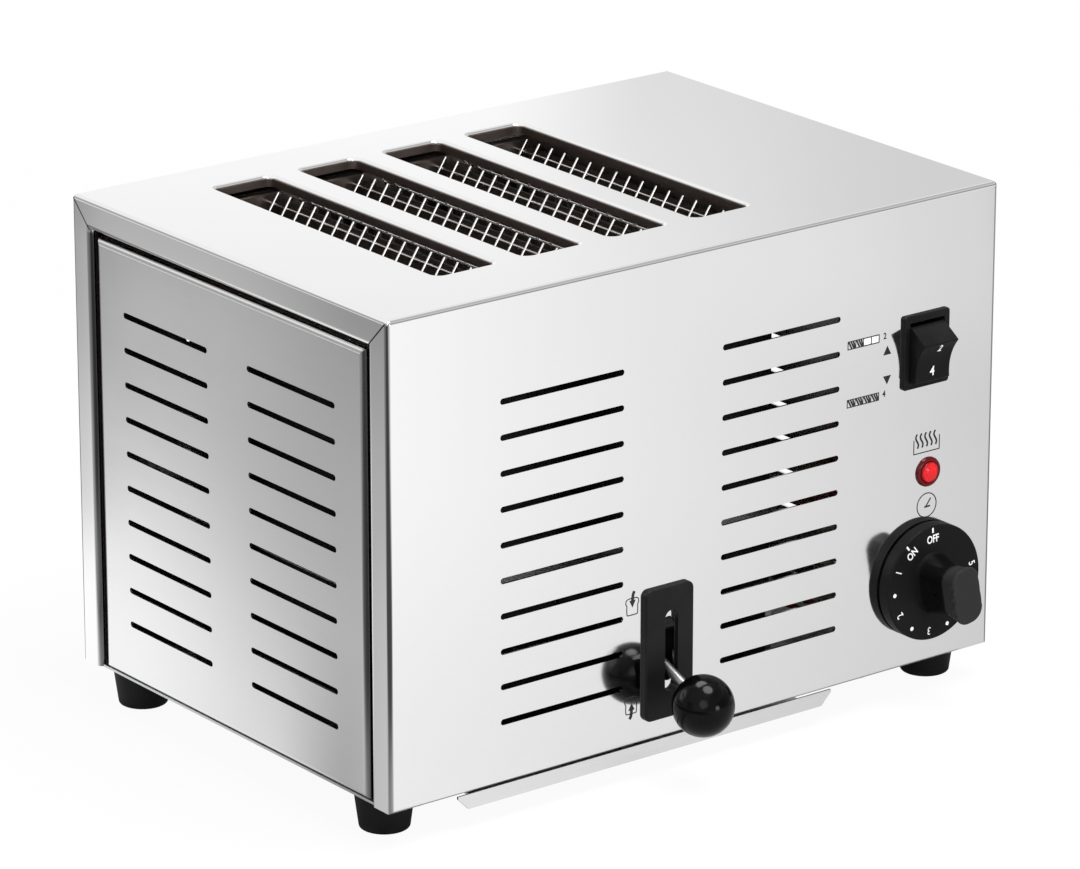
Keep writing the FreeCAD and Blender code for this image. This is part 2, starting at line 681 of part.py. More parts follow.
def crumb_tray():
    """A shallow pan with a front lip that hangs just below the housing's edge."""
    made = body("crumb_tray")
    low = ("runnerLeftX", "front")
    high = ("runnerRightX", "back - trayBack")
    pan = sketch(made, "XY_Plane", "trayFloorZ")
    rectangle(pan, low, high)
    pad(made, pan, "floor - trayWallTop - trayFloorZ")
    ledge = sketch(made, "XY_Plane", "floor")
    low = ("runnerLeftX - sheetSteel", "front - sheetSteel")
    rectangle(ledge, low, ("runnerRightX + sheetSteel", "front + trayWallInset"))
    pocket(made, ledge, "floor - trayFloorZ - traySheet")
    notches = sketch(made, "XY_Plane", "floor")
    behind = "front + trayWallInset"
    rectangle(notches, low, ("trayLeftX + trayNotch", behind))
    rectangle(notches, ("trayRightX - trayNotch", "front - sheetSteel"), ("trayRightX", behind))
    pocket(made, notches, "trayFloor + sheetSteel")
    hollow = sketch(made, "XY_Plane", "floor")
    inner_low = ("runnerLeftX + traySheet", "front + trayWallInset + traySheet")
    rectangle(hollow, inner_low, ("runnerRightX - traySheet", "back - trayBack - traySheet"))
    pocket(made, hollow, "floor - trayFloorZ - traySheet")
    lip = sketch(made, "XZ_Plane", "-front")
    bottom = "floor - lipDrop"
    corners = [("trayLeftX + lipCorner", bottom), ("trayRightX - lipCorner", bottom),
               ("trayRightX", f"{bottom} + lipCorner"), ("trayRightX", f"{bottom} + lipTall"),
               ("trayLeftX", f"{bottom} + lipTall"), ("trayLeftX", f"{bottom} + lipCorner")]
    polygon(lip, corners)
    pad(made, lip, "traySheet", backward=True)


def tray_runner(label, side):
    """A bent strip under the base that carries one edge of the tray."""
    made = body(label)
    edge = "runnerLeftX - fitGap" if side < 0 else "runnerRightX + fitGap"
    out = "-" if side < 0 else "+"
    inward = "+" if side < 0 else "-"
    ledge = "trayFloorZ - fitGap"
    section = sketch(made, "XZ_Plane", "-(front + runnerFront)")
    corners = [(f"{edge} {inward} runnerFoot", f"{ledge} - runnerSheet"),
               (f"{edge} {inward} runnerFoot", ledge),
               (edge, ledge),
               (edge, "floor"),
               (f"{edge} {out} (runnerSheet + runnerWing)", "floor"),
               (f"{edge} {out} (runnerSheet + runnerWing)", "floor - runnerSheet"),
               (f"{edge} {out} runnerSheet", "floor - runnerSheet"),
               (f"{edge} {out} runnerSheet", f"{ledge} - runnerSheet")]
    polygon(section, corners)
    pad(made, section, "depth - runnerFront - trayBack", backward=True)


# Toasting chamber

def across_cards():
    """The middle of each heater card."""
    return [f"cardFirstX + {i} * slotPitch" for i in range(DIMS["slotCount"] + 1)]


def across_slots():
    """The middle of each bread slot."""
    return [f"firstSlotX + {i} * slotPitch" for i in range(DIMS["slotCount"])]


def tab_heights():
    return ("floor + cardBottom + tabLow", "floor + cardBottom + tabHigh")


def end_wall(label, face, side):
    """A wall across the chamber, slotted for the cards' tabs and the bread rests, folded out at the top."""
    made = body(label)
    outline = sketch(made, "XZ_Plane", f"-({face})")
    rectangle(outline, ("chamberLeftX", "deck"), ("chamberRightX", "wallTopZ"))
    pad(made, outline, "chamberSheet", backward=True)
    near_y = f"{face} - wallFold" if side < 0 else face
    far_y = f"{face} + chamberSheet" if side < 0 else f"{face} + chamberSheet + wallFold"
    fold = sketch(made, "XY_Plane", "wallTopZ - chamberSheet")
    rectangle(fold, ("chamberLeftX", near_y), ("chamberRightX", far_y))
    pad(made, fold, "chamberSheet")
    inner = number(far_y if side < 0 else near_y)
    top = number("wallTopZ")
    round_edges(made, lambda edge: lies_at(edge, "z", top) and lies_at(edge, "y", inner), "wallBend")
    holes = sketch(made, "XZ_Plane", f"-({face} - chamberSheet)")
    for x in across_cards():
        for z in tab_heights():
            half = "(cardThick / 2 + fitGap / 2)"
            low = (f"{x} - {half}", f"{z} - fitGap / 2")
            rectangle(holes, low, (f"{x} + {half}", f"{z} + tabTall + fitGap / 2"))
    for x in across_slots():
        half = "(restThick / 2 + fitGap)"
        low = (f"{x} - {half}", "restTopZ - liftTravel - restTall - 2 * fitGap")
        rectangle(holes, low, (f"{x} + {half}", "restTopZ + 2 * fitGap"))
    pocket(made, holes, "3 * chamberSheet")


def chamber():
    end_wall("chamber_front_wall", "chamberFrontY", -1)
    end_wall("chamber_rear_wall", "chamberRearY", 1)
    for label, outer, inner in (("chamber_left_wall", "chamberLeftX - chamberSheet", "chamberLeftX"),
                                ("chamber_right_wall", "chamberRightX", "chamberRightX + chamberSheet")):
        high = (inner, "chamberRearY + chamberSheet", "wallTopZ")
        keep(box((outer, "chamberFrontY", "deck"), high), label)


def heater_card(index, x):
    """A mica card that hangs between the end walls by four tabs, waisted where the ribbon goes round."""
    made = body(f"heater_card_{index}")
    plane = sketch(made, "YZ_Plane", f"{x} - cardThick / 2")
    near_end = "chamberFrontY + chamberSheet"
    low, high = tab_heights()
    waist_low = "floor + cardBottom + ribbonStart - waistMargin"
    waist_high = "floor + cardBottom + ribbonStart + ribbonTurns * ribbonPitch + ribbonWide + waistMargin"

    def edge(y, tab_y, waist_y):
        """One upright edge from the bottom to the top: tab, waist, tab."""
        spots = [(y, "floor + cardBottom")]
        spots += [(y, low), (tab_y, low), (tab_y, f"{low} + tabTall"), (y, f"{low} + tabTall")]
        spots += [(y, waist_low), (waist_y, waist_low), (waist_y, waist_high), (y, waist_high)]
        spots += [(y, high), (tab_y, high), (tab_y, f"{high} + tabTall"), (y, f"{high} + tabTall")]
        return spots + [(y, "floor + cardTop")]
    rear = edge("chamberRearY", "chamberRearY + chamberSheet", "chamberRearY - cardWaist")
    front = edge(near_end, "chamberFrontY", f"{near_end} + cardWaist")
    polygon(plane, rear + front[::-1])
    pad(made, plane, "cardThick")


def ribbon_shape():
    """A resistance ribbon wound round a card, placed for a card at x = 0."""
    thick = number("ribbonThick")
    wide = number("ribbonWide")
    pitch = number("ribbonPitch")
    half = number("cardThick / 2")
    near_y = number("chamberFrontY + chamberSheet + cardWaist")
    far_y = number("chamberRearY - cardWaist")
    start = number("floor + cardBottom + ribbonStart")

    def strip(x, z0, z1):
        corners = [(near_y, z0), (far_y, z1), (far_y, z1 + wide), (near_y, z0 + wide), (near_y, z0)]
        wire = Part.makePolygon([Vector(x, y, z) for y, z in corners])
        return Part.Face(wire).extrude(Vector(thick, 0, 0))

    pieces = []
    for turn in range(int(number("ribbonTurns"))):
        z = start + turn * pitch
        pieces.append(strip(half, z, z))
        pieces.append(strip(-half - thick, z + pitch, z))
        across = 2 * (half + thick)
        pieces.append(Part.makeBox(across, thick, wide, Vector(-half - thick, far_y, z)))
        pieces.append(Part.makeBox(across, thick, wide, Vector(-half - thick, near_y - thick, z + pitch)))
    return pieces[0].multiFuse(pieces[1:]).removeSplitter()


def heaters():
    """Five cards and their ribbons, one each side of every slot."""
    winding = ribbon_shape()
    for index, x in enumerate(across_cards(), start=1):
        heater_card(index, x)
        ribbon = doc.addObject("Part::Feature", "ribbon")
        ribbon.Shape = winding.copy()
        ribbon.Placement.Base = Vector(number(x), 0, 0)
        keep(ribbon, f"heater_ribbon_{index}")


def bread_cages():
    """Two wire guards in each slot, flared at the top, that keep the bread off the heaters."""
    radius = number("wireRadius")
    half = number("cageHalf")
    flare = number("guardFlare")
    low = number("floor + cageBottom")
    high = number("floor + cageTop")
    knee = number("floor + cageTop - guardFlareTall")
    start = number("chamberFrontY + chamberSheet")
    end = number("chamberRearY")
    inset = number("cageWireInset")
    count = int(number("wireCount"))
    pitch = (end - start - 2 * inset) / (count - 1)
    levels = [number(f"floor + {name}") for name in ("bandLow", "bandMiddle", "bandHigh")]

    def wire(a, b):
        return Part.makeCylinder(radius, (b - a).Length, a, b - a)

    guards = []
    for side in (-1, 1):
        wires = []
        for i in range(count):
            y = start + inset + i * pitch
            foot = Vector(side * half, y, low)
            bend = Vector(side * half, y, knee)
            tip = Vector(side * (half + flare), y, high)
            wires += [wire(foot, bend), wire(bend, tip)]
            wires += [Part.makeSphere(radius, spot) for spot in (foot, bend)]
        for z in levels:
            lean = flare * max(0, z - knee) / (high - knee)
            x = side * (half + lean + number("wireOverlap") * radius)
            wires.append(wire(Vector(x, start, z), Vector(x, end, z)))
        guards.append(wires[0].multiFuse(wires[1:]))
    pair = Part.makeCompound(guards)
    for index, x in enumerate(across_slots(), start=1):
        guard = doc.addObject("Part::Feature", "guard")
        guard.Shape = pair.copy()
        guard.Placement.Base = Vector(number(x), 0, 0)
        keep(guard, f"bread_cage_{index}")


# Bread lift

def bread_rests():
    """A strip under each slice, with short cross wires, whose ends lie on the lift frame."""
    for index, x in enumerate(across_slots(), start=1):
        low = (f"{x} - restThick / 2", "frameFrontY", "frameTopZ")
        strip = box(low, (f"{x} + restThick / 2", "frameRearY + frameSheet", "restTopZ"))
        wires = []
        middle = "(slotFrontY + slotRearY) / 2"
        count = DIMS["restWireCount"]
        for i in range(count):
            y = f"{middle} + {i - (count - 1) / 2} * restWirePitch"
            start = (f"{x} - restWireHalf", y, "restTopZ - restWireRadius")
            wires.append(cylinder(start, "X", "restWireRadius", "2 * restWireHalf"))
        keep(fuse(strip, *wires), f"bread_rest_{index}")


def lift_frame():
    """A strip frame round the chamber, with sleeves for the guide rods and slotted ears."""
    frame_low = "frameTopZ - frameTall"
    outer_left = "frameLeftX - frameSheet"
    outer_right = "frameRightX + frameSheet"
    pieces = []
    for y in ("frameFrontY", "frameRearY"):
        high = (outer_right, f"{y} + frameSheet", "frameTopZ")
        pieces.append(box((outer_left, y, frame_low), high))
    tools = []
    pin_gap = "(pinRadius + pinSlotGap)"
    travel = "(armLength * (1 - cos(armAngle * 1 deg)))"
    for outer, inner, centre in ((outer_left, "frameLeftX", guide_x(-1)),
                                 ("frameRightX", outer_right, guide_x(1))):
        high = (inner, "frameRearY + frameSheet", "frameTopZ")
        pieces.append(box((outer, "frameFrontY", frame_low), high))
        low = (outer, "pinY - earHalf", f"{frame_low} - earDrop")
        pieces.append(box(low, (inner, f"pinY + earHalf + {travel}", "frameTopZ")))
        sleeve = (centre, "guideY", "frameTopZ - sleeveTall")
        pieces.append(cylinder(sleeve, "Z", "sleeveRadius", "sleeveTall"))
        tools.append(cylinder(sleeve, "Z", "guideRadius + runningFit", "sleeveTall"))
        low = (outer, f"pinY - {pin_gap} - pinSlotGap", f"pinZ - {pin_gap}")
        high = (inner, f"pinY + {travel} + {pin_gap} + pinSlotGap", f"pinZ + {pin_gap}")
        tools.append(box(low, high))
    keep(cut(fuse(*pieces), *tools), "lift_frame")


def guide_x(side):
    """The middle of a guide rod, whose sleeve is welded to the outside of the frame."""
    if side < 0:
        return "frameLeftX - frameSheet - sleeveRadius + frameSheet / 3"
    return "frameRightX + frameSheet + sleeveRadius - frameSheet / 3"


def guides():
    """Two upright rods on the base, held at the top by brackets on the chamber's sides."""
    brackets = []
    for label, side, wall in (("guide_rod_left", -1, "chamberLeftX - chamberSheet"),
                              ("guide_rod_right", 1, "chamberRightX + chamberSheet")):
        x = guide_x(side)
        height = "floor + guideTop - deck"
        keep(cylinder((x, "guideY", "deck"), "Z", "guideRadius", height), label)
        low_z = "floor + guideTop - guideBracket"
        far = f"{x} {'-' if side < 0 else '+'} sleeveRadius"
        ends = (far, wall) if side < 0 else (wall, far)
        high = (ends[1], "guideY + sleeveRadius", "floor + guideTop")
        arm = box((ends[0], "guideY - sleeveRadius", low_z), high)
        bore = cylinder((x, "guideY", low_z), "Z", "guideRadius + runningFit", "guideBracket")
        brackets.append(cut(arm, bore))
    keep(group(*brackets), "rod_brackets")


# Lever

def tilted(thing, x, y, z, angle):
    """Turn a piece made along +Y about the X axis, at a place."""
    thing.Placement.Rotation = Rotation(Vector(1, 0, 0), angle)
    move(thing, x, y, z)
    return thing


def lever():
    """Cross shaft, two lift arms, the hub with its rod, and the ball."""
    angle = number("armAngle")
    shaft_end = ("armLeftX - armSheet", "shaftY", "shaftZ")
    shaft = cylinder(shaft_end, "X", "shaftRadius", "armRightX - armLeftX + 2 * armSheet")
    keep(shaft, "lever_shaft")
    pin_reach = "(1.5 * armGap + frameSheet)"
    for label, x, pin_x in (("lift_arm_left", "armLeftX - armSheet", "armLeftX - armSheet"),
                            ("lift_arm_right", "armRightX", f"armRightX - {pin_reach}")):
        bar = box(("0", "0", "-armHalf"), ("armSheet", "armLength", "armHalf"))
        ends = [cylinder(("0", y, "0"), "X", "armEye", "armSheet") for y in ("0", "armLength")]
        flat = tilted(fuse(bar, *ends), x, "shaftY", "shaftZ", angle)
        pin = cylinder((pin_x, "pinY", "pinZ"), "X", "pinRadius", f"armSheet + {pin_reach}")
        bore = cylinder((x, "shaftY", "shaftZ"), "X", "shaftRadius + runningFit / 2", "armSheet")
        keep(cut(fuse(flat, pin), bore), label)
    hub_start = ("leverCentreX - hubWide / 2", "shaftY", "shaftZ")
    hub = cylinder(hub_start, "X", "hubRadius", "hubWide")
    rod = cylinder(("0", "0", "0"), "Y", "leverRodRadius", "leverReach - ballRadius + ballSocket")
    rod.Placement.Rotation = Rotation(Vector(1, 0, 0), 90 + angle)
    move(rod, "leverCentreX", "shaftY", "shaftZ")
    bore = cylinder(hub_start, "X", "shaftRadius + runningFit / 2", "hubWide")
    keep(cut(fuse(hub, rod), bore), "lever_rod")
    ball = sphere(("leverCentreX", "ballY", "ballZ"), "ballRadius")
    socket = doc.addObject("Part::Cylinder", "socket")
    socket.Placement.Rotation = Rotation(Vector(1, 0, 0), 90 + angle)
    bind(socket, Radius="leverRodRadius + runningFit / 2", Height="leverReach - ballRadius + ballSocket")
    move(socket, "leverCentreX", "shaftY", "shaftZ")
    keep(cut(ball, socket), "lever_ball")


def shaft_bearings():
    """Two upright plates on the base that carry the lever's cross shaft."""
    made = []
    low_y = "shaftY - bearingWide / 2"
    high_y = "frameFrontY - armGap"
    for x, foot_start in (("chamberLeftX + bearingInset", "0"),
                          ("chamberRightX - bearingInset - bearingSheet", "bearingFoot")):
        plate = box((x, low_y, "deck"), (f"{x} + bearingSheet", high_y, "shaftZ + bearingTop"))
        foot_x = f"{x} - {foot_start}"
        high = (f"{foot_x} + bearingSheet + bearingFoot", high_y, "deck + bearingSheet")
        foot = box((foot_x, low_y, "deck"), high)
        bore = cylinder((x, "shaftY", "shaftZ"), "X", "shaftRadius + runningFit", "bearingSheet")
        made.append(cut(fuse(plate, foot), bore))
    keep(group(*made), "shaft_bearings")


def lever_escutcheon():
    """The black plate round the lever's slot."""
    made = body("lever_escutcheon")
    outline = sketch(made, "XZ_Plane", "-front")
    high = ("plateLeftX + plateWide", "plateBottomZ + plateTall")
    rounded(outline, ("plateLeftX", "plateBottomZ"), high, "plateCorner")
    pad(made, outline, "plateThick")
    face = number("front - plateThick")
    round_edges(made, lambda edge: lies_at(edge, "y", face), "plateEdge")
    slot = sketch(made, "XZ_Plane", "-(front - 2 * plateThick)")
    low = ("leverCentreX - plateSlotWide / 2", "floor + plateSlotBottom")
    high = ("leverCentreX + plateSlotWide / 2", "floor + plateSlotBottom + plateSlotTall")
    long_hole(slot, low, high, along="y")
    pocket(made, slot, "3 * plateThick")


# Rocker switch

def centred(profile, half_wide, half_high):
    """A rectangle about the rocker switch's centre."""
    low = (f"rockerCentreX - {half_wide}", f"rockerCentreZ - {half_high}")
    rectangle(profile, low, (f"rockerCentreX + {half_wide}", f"rockerCentreZ + {half_high}"))


def rocker_housing():
    """Bezel and body, with a pit for the button and a cross pin."""
    made = body("rocker_housing")
    bezel = sketch(made, "XZ_Plane", "-front")
    low = ("rockerCentreX - bezelWide / 2", "rockerCentreZ - bezelHigh / 2")
    high = ("rockerCentreX + bezelWide / 2", "rockerCentreZ + bezelHigh / 2")
    rounded(bezel, low, high, "bezelCorner")
    pad(made, bezel, "bezelThick")
    face = number("front - bezelThick")
    round_edges(made, lambda edge: lies_at(edge, "y", face), "bezelEdge")
    block = sketch(made, "XZ_Plane", "-front")
    centred(block, "(bezelWide / 2 - bezelCorner)", "rockerBody")
    pad(made, block, "rockerBodyDeep", backward=True)
    half = "(rockerWide / 2 + fitGap)"
    window = sketch(made, "XZ_Plane", "-(front - 2 * bezelThick)")
    centred(window, half, "rockerWindow")
    pocket(made, window, "2 * bezelThick + rockerCavityDeep")
    pit = sketch(made, "XZ_Plane", "-front")
    centred(pit, half, "rockerCavity")
    pocket(made, pit, "rockerCavityDeep")
    pin = sketch(made, "YZ_Plane", f"rockerCentreX - {half} - fitGap")
    circle(pin, "front + rockerPivot", "rockerCentreZ", "rockerPinRadius")
    pad(made, pin, f"2 * ({half} + fitGap)")


def rocker_button():
    """A two-way button with a hollowed face, tipped so that its upper end stands out."""
    made = body("rocker_button")
    side = sketch(made, "YZ_Plane", "-rockerWide / 2")
    reach = "-ridgeReach"
    spots = [(reach, "ridgeHalf"), ("-rockerShoulder", "rockerHalf"), ("-rockerHeel", "rockerHalf"),
             ("rockerKeel / 2", "rockerKeel"), ("rockerKeel", "rockerKeel"), ("rockerKeel", "-rockerKeel"),
             ("rockerKeel / 2", "-rockerKeel"), ("-rockerHeel", "-rockerHalf"),
             ("-rockerShoulder", "-rockerHalf"), (reach, "-ridgeHalf")]
    points = [Vector(number(x), number(y), 0) for x, y in spots]
    for a, b in zip(points, points[1:]):
        side.addGeometry(Part.LineSegment(a, b))
    dip = Vector(number("rockerDip - ridgeReach"), 0, 0)
    side.addGeometry(Part.Arc(points[-1], dip, points[0]))
    lines = len(points) - 1
    for i in range(lines - 1):
        side.addConstraint(Constraint("Coincident", i, 2, i + 1, 1))
    side.addConstraint(Constraint("Coincident", lines - 1, 2, lines, 1))
    side.addConstraint(Constraint("Coincident", lines, 2, 0, 1))
    for i, (x, y) in enumerate(spots[:-1]):
        fix(side, "DistanceX", i, 1, x)
        fix(side, "DistanceY", i, 1, y)
    fix(side, "DistanceX", lines - 1, 2, spots[-1][0])
    fix(side, "DistanceY", lines - 1, 2, spots[-1][1])
    at = side.addConstraint(Constraint("Radius", lines, side.Geometry[lines].Radius))
    side.setExpression(f"Constraints[{at}]", link("(ridgeHalf * ridgeHalf / rockerDip + rockerDip) / 2"))
    pad(made, side, "rockerWide")
    ridge = number(reach)
    round_edges(made, lambda edge: runs_along(edge, "x") and lies_at(edge, "y", ridge), "rockerRidgeEdge")
    bore = sketch(made, "YZ_Plane", "rockerWide / 2 + sheetSteel")
    circle(bore, "0", "0", "(rockerPinRadius + runningFit)")
    pocket(made, bore, "rockerWide + 2 * sheetSteel")
    made.Placement.Rotation = Rotation(Vector(1, 0, 0), number("rockerThrow / 2"))
    move(made, "rockerCentreX", "front + rockerPivot", "rockerCentreZ")


# Lamp

def lamp():
    """A dark collar with its tube through the panel, and a domed red lens."""
    x, z = "lampCentreX", "lampCentreZ"
    collar = cylinder((x, "front - lampCollar", z), "Y", "lampCollarRadius", "lampCollar")
    tube = cylinder((x, "front", z), "Y", "lampBodyRadius", "lampBodyDeep")
    seat = cylinder((x, "front - lampCollar", z), "Y", "lampRadius + runningFit", "lampBodyDeep / 2")
    keep(cut(fuse(collar, tube), seat), "lamp_collar")
    stem = cylinder((x, "front - lampCollar", z), "Y", "lampRadius", "lampBodyDeep / 2")
    dome = doc.addObject("Part::Ellipsoid", "dome")
    bind(dome, Radius1="lampDome - lampCollar", Radius2="lampRadius", Radius3="lampRadius")
    dome.Angle1 = 0
    dome.Angle2 = 90
    dome.Placement.Rotation = Rotation(Vector(1, 0, 0), 90)
    move(dome, x, "front - lampCollar", z)
    keep(fuse(stem, dome), "lamp_lens")


# Timer

def timer_knob():
    """A skirt with a flared grip, drawn about its own axis; the back is hollow over the panel nut."""
    made = body("timer_knob")
    back_face = "front - skirtGap"
    disc = sketch(made, "XZ_Plane", f"-({back_face})")
    circle(disc, "0", "0", "skirtRadius")
    pad(made, disc, "skirtThick")
    face = number(f"{back_face} - skirtThick")
    round_edges(made, lambda edge: lies_at(edge, "y", face), "skirtEdge")
    sections = [("flareWide", "flareTall", "flareCorner", "-skirtEdge / 2"),
                ("neckWide", "neckTall", "gripCorner", "neckReach"),
                ("gripWide", "gripTall", "gripCorner", "knobReach - skirtThick - skirtGap")]
    outlines = []
    for wide, tall, corner, reach in sections:
        plane = sketch(made, "XZ_Plane", f"-({back_face} - skirtThick) + {reach}")
        rounded(plane, (f"-{wide} / 2", f"-{tall} / 2"), (f"{wide} / 2", f"{tall} / 2"), corner)
        outlines.append(plane)
    grip = made.newObject("PartDesign::AdditiveLoft", "grip")
    grip.Profile = outlines[0]
    grip.Sections = outlines[1:]
    tip = number("front - knobReach")
    made.Tip = grip
    round_edges(made, lambda edge: lies_at(edge, "y", tip), "gripEdge")
    notches = sketch(made, "XZ_Plane", "-(front - knobReach - sheetSteel)")
    for side in ("-", "+"):
        for step in (-1, 0, 1):
            across = f"0 {side} (gripWide / 2 + scallopRadius - scallopDepth)"
            circle(notches, across, f"{step} * scallopPitch", "(scallopRadius)")
    pocket(made, notches, "scallopLength + sheetSteel")
    hollow = sketch(made, "XZ_Plane", f"-({back_face} + skirtGap)")
    circle(hollow, "0", "0", "skirtHollowRadius")
    pocket(made, hollow, "skirtHollow + skirtGap", backward=True)
    bore = sketch(made, "XZ_Plane", f"-({back_face} + skirtGap)")
    circle(bore, "0", "0", "(spindleRadius + runningFit / 2)")
    pocket(made, bore, "skirtGap + skirtThick + neckReach", backward=True)
    made.Placement.Rotation = Rotation(Vector(0, -1, 0), number("gripTilt"))
    move(made, "timerCentreX", "0", "timerCentreZ")


def timer():
    """Clockwork timer behind the panel, its bush and nut, and the spindle that carries the knob."""
    x, z = "timerCentreX", "timerCentreZ"
    half_wide, half_high = "timerWide / 2", "timerHigh / 2"
    panel_back = "front + sheetSteel"
    low = (f"{x} - {half_wide}", panel_back, f"{z} - {half_high} + timerBack")
    case = box(low, (f"{x} + {half_wide}", f"{panel_back} + timerDeep", f"{z} + {half_high}"))
    bush = cylinder((x, "front - bushReach + sheetSteel", z), "Y", "bushRadius", "bushReach")
    bore_start = (x, "front - bushReach + sheetSteel", z)
    bore = cylinder(bore_start, "Y", "spindleRadius + runningFit", "bushReach + spindleBore")
    keep(cut(fuse(case, bush), bore), "timer_body")
    length = "skirtGap + skirtThick + neckReach + spindleBore - 3 * spindleGap"
    spindle_start = "front - skirtGap - skirtThick - neckReach + spindleGap"
    keep(cylinder((x, spindle_start, z), "Y", "spindleRadius", length), "timer_spindle")
    nut = hexagon((x, "front - timerNut", z), "Y", "timerNutRadius", "timerNut")
    nut_bore = cylinder((x, "front - timerNut", z), "Y", "bushRadius + runningFit", "timerNut")
    keep(cut(nut, nut_bore), "timer_nut")


# Electrical parts behind the panel

def electrics():
    x0 = "right - terminalX - terminalWide / 2"
    y0 = "front + terminalBehind"
    block = box((x0, y0, "deck"), (f"{x0} + terminalWide", f"{y0} + terminalDeep", "deck + terminalHigh"))
    holes = []
    for step in (-1, 0, 1):
        middle = (f"right - terminalX + {step} * terminalPitch", y0, "deck + terminalHigh / 2")
        holes.append(cylinder(middle, "Y", "terminalHole", "terminalDeep"))
    keep(cut(block, *holes), "terminal_block")
    start = ("chamberRightX + chamberSheet", "front + cutoutBehind", "floor + cutoutTall")
    keep(cylinder(start, "X", "cutoutRadius", "cutoutThick"), "thermal_cutout")

    gx, gz = "glandCentreX", "glandCentreZ"
    thread_start = (gx, "back - sheetSteel - glandNut - glandEnd", gz)
    thread = cylinder(thread_start, "Y", "glandRadius", "sheetSteel + glandNut + glandReach - glandEnd")
    flange = hexagon((gx, "back", gz), "Y", "glandFlange", "glandFlangeThick")
    cap = cylinder((gx, "back", gz), "Y", "glandRadius + glandEnd", "glandReach")
    bore = cylinder(thread_start, "Y", "glandBore", "sheetSteel + glandNut + glandEnd + glandReach")
    keep(cut(fuse(thread, flange, cap), bore), "cable_gland")
    nut_start = (gx, "back - sheetSteel - glandNut", gz)
    nut = hexagon(nut_start, "Y", "glandNutRadius", "glandNut")
    keep(cut(nut, cylinder(nut_start, "Y", "glandRadius + runningFit", "glandNut")), "gland_nut")


def lead(points):
    """A wire along straight runs with round corners, from points given as formulas."""
    spots = [Vector(*[number(value) for value in point]) for point in points]
    radius = number("leadRadius")
    pieces = []
    for a, b in zip(spots, spots[1:]):
        pieces.append(Part.makeCylinder(radius, (b - a).Length, a, b - a))
    for spot in spots[1:-1]:
        pieces.append(Part.makeSphere(radius, spot))
    wire = doc.addObject("Part::Feature", "lead")
    wire.Shape = pieces[0].multiFuse(pieces[1:])
    return wire


def wiring():
    """Leads from the terminal block to the timer, the switch, the lamp and the cut-out."""
    end_y = "front + terminalBehind"
    level = "deck + terminalHigh / 2"
    case_back = "front + sheetSteel + timerDeep"
    made = [
        lead([("right - terminalX - terminalPitch", end_y, level),
              ("right - terminalX - terminalPitch", f"{case_back} + leadBend", level),
              ("timerCentreX - leadBend", f"{case_back} + leadBend", "timerCentreZ"),
              ("timerCentreX - leadBend", case_back, "timerCentreZ")]),
        lead([("right - terminalX", end_y, level),
              ("right - terminalX", f"{case_back} + 2 * leadBend", level),
              ("rockerCentreX", f"{case_back} + leadBend", "rockerCentreZ"),
              ("rockerCentreX", "front + rockerBodyDeep", "rockerCentreZ")]),
        lead([("timerCentreX + leadBend", case_back, "timerCentreZ"),
              ("timerCentreX + leadBend", f"{case_back} + leadBend", "timerCentreZ"),
              ("lampCentreX", f"{case_back} + leadBend", "lampCentreZ"),
              ("lampCentreX", "front + lampBodyDeep", "lampCentreZ")]),
        lead([("right - terminalX + terminalPitch", end_y, level),
              ("right - terminalX + terminalPitch", f"{end_y} - 2 * leadBend", level),
              ("right - terminalX + terminalPitch", "front + cutoutBehind", "floor + cutoutTall"),
              ("chamberRightX + chamberSheet + cutoutThick", "front + cutoutBehind", "floor + cutoutTall")]),
    ]
    keep(group(*made), "wiring")


# The whole toaster

outer_housing()
side_panel("left_side_panel", -1)
side_panel("right_side_panel", 1)
base_plate()
feet()
base_screws()
crumb_tray()
tray_runner("left_tray_runner", -1)
tray_runner("right_tray_runner", 1)
chamber()
heaters()
bread_cages()
bread_rests()
lift_frame()
guides()
lever()
shaft_bearings()
lever_escutcheon()
rocker_housing()
rocker_button()
lamp()
timer_knob()
timer()
electrics()
wiring()
doc.recompute()

for item in doc.Objects:
    if "Invalid" in item.State or "Error" in item.State:
        raise RuntimeError(f"{item.Name} of {item.Label} failed: {item.State}")

os.makedirs("parts", exist_ok=True)
for piece in finished:
    if piece.Shape.isNull() or not piece.Shape.isValid():
        raise RuntimeError(f"{piece.Label} has no valid shape")
for piece in finished:
    piece.Shape.exportStep(f"parts/{piece.Label}.step")
print(len(finished), "pieces written")
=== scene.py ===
import json
import math

import bmesh
import bpy
from mathutils import Matrix, Vector


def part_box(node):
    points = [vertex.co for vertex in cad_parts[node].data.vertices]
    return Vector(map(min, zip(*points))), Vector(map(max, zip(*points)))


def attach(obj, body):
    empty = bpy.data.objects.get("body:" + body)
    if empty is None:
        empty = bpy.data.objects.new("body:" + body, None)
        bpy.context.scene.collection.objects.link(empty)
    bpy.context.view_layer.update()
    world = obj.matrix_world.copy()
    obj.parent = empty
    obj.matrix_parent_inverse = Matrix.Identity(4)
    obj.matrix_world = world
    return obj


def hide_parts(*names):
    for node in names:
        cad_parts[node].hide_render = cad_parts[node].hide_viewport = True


# Looks of a four-slot commercial toaster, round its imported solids.
# Metres, +Z up. The controls face -Y, and the side that the camera sees is at -X.

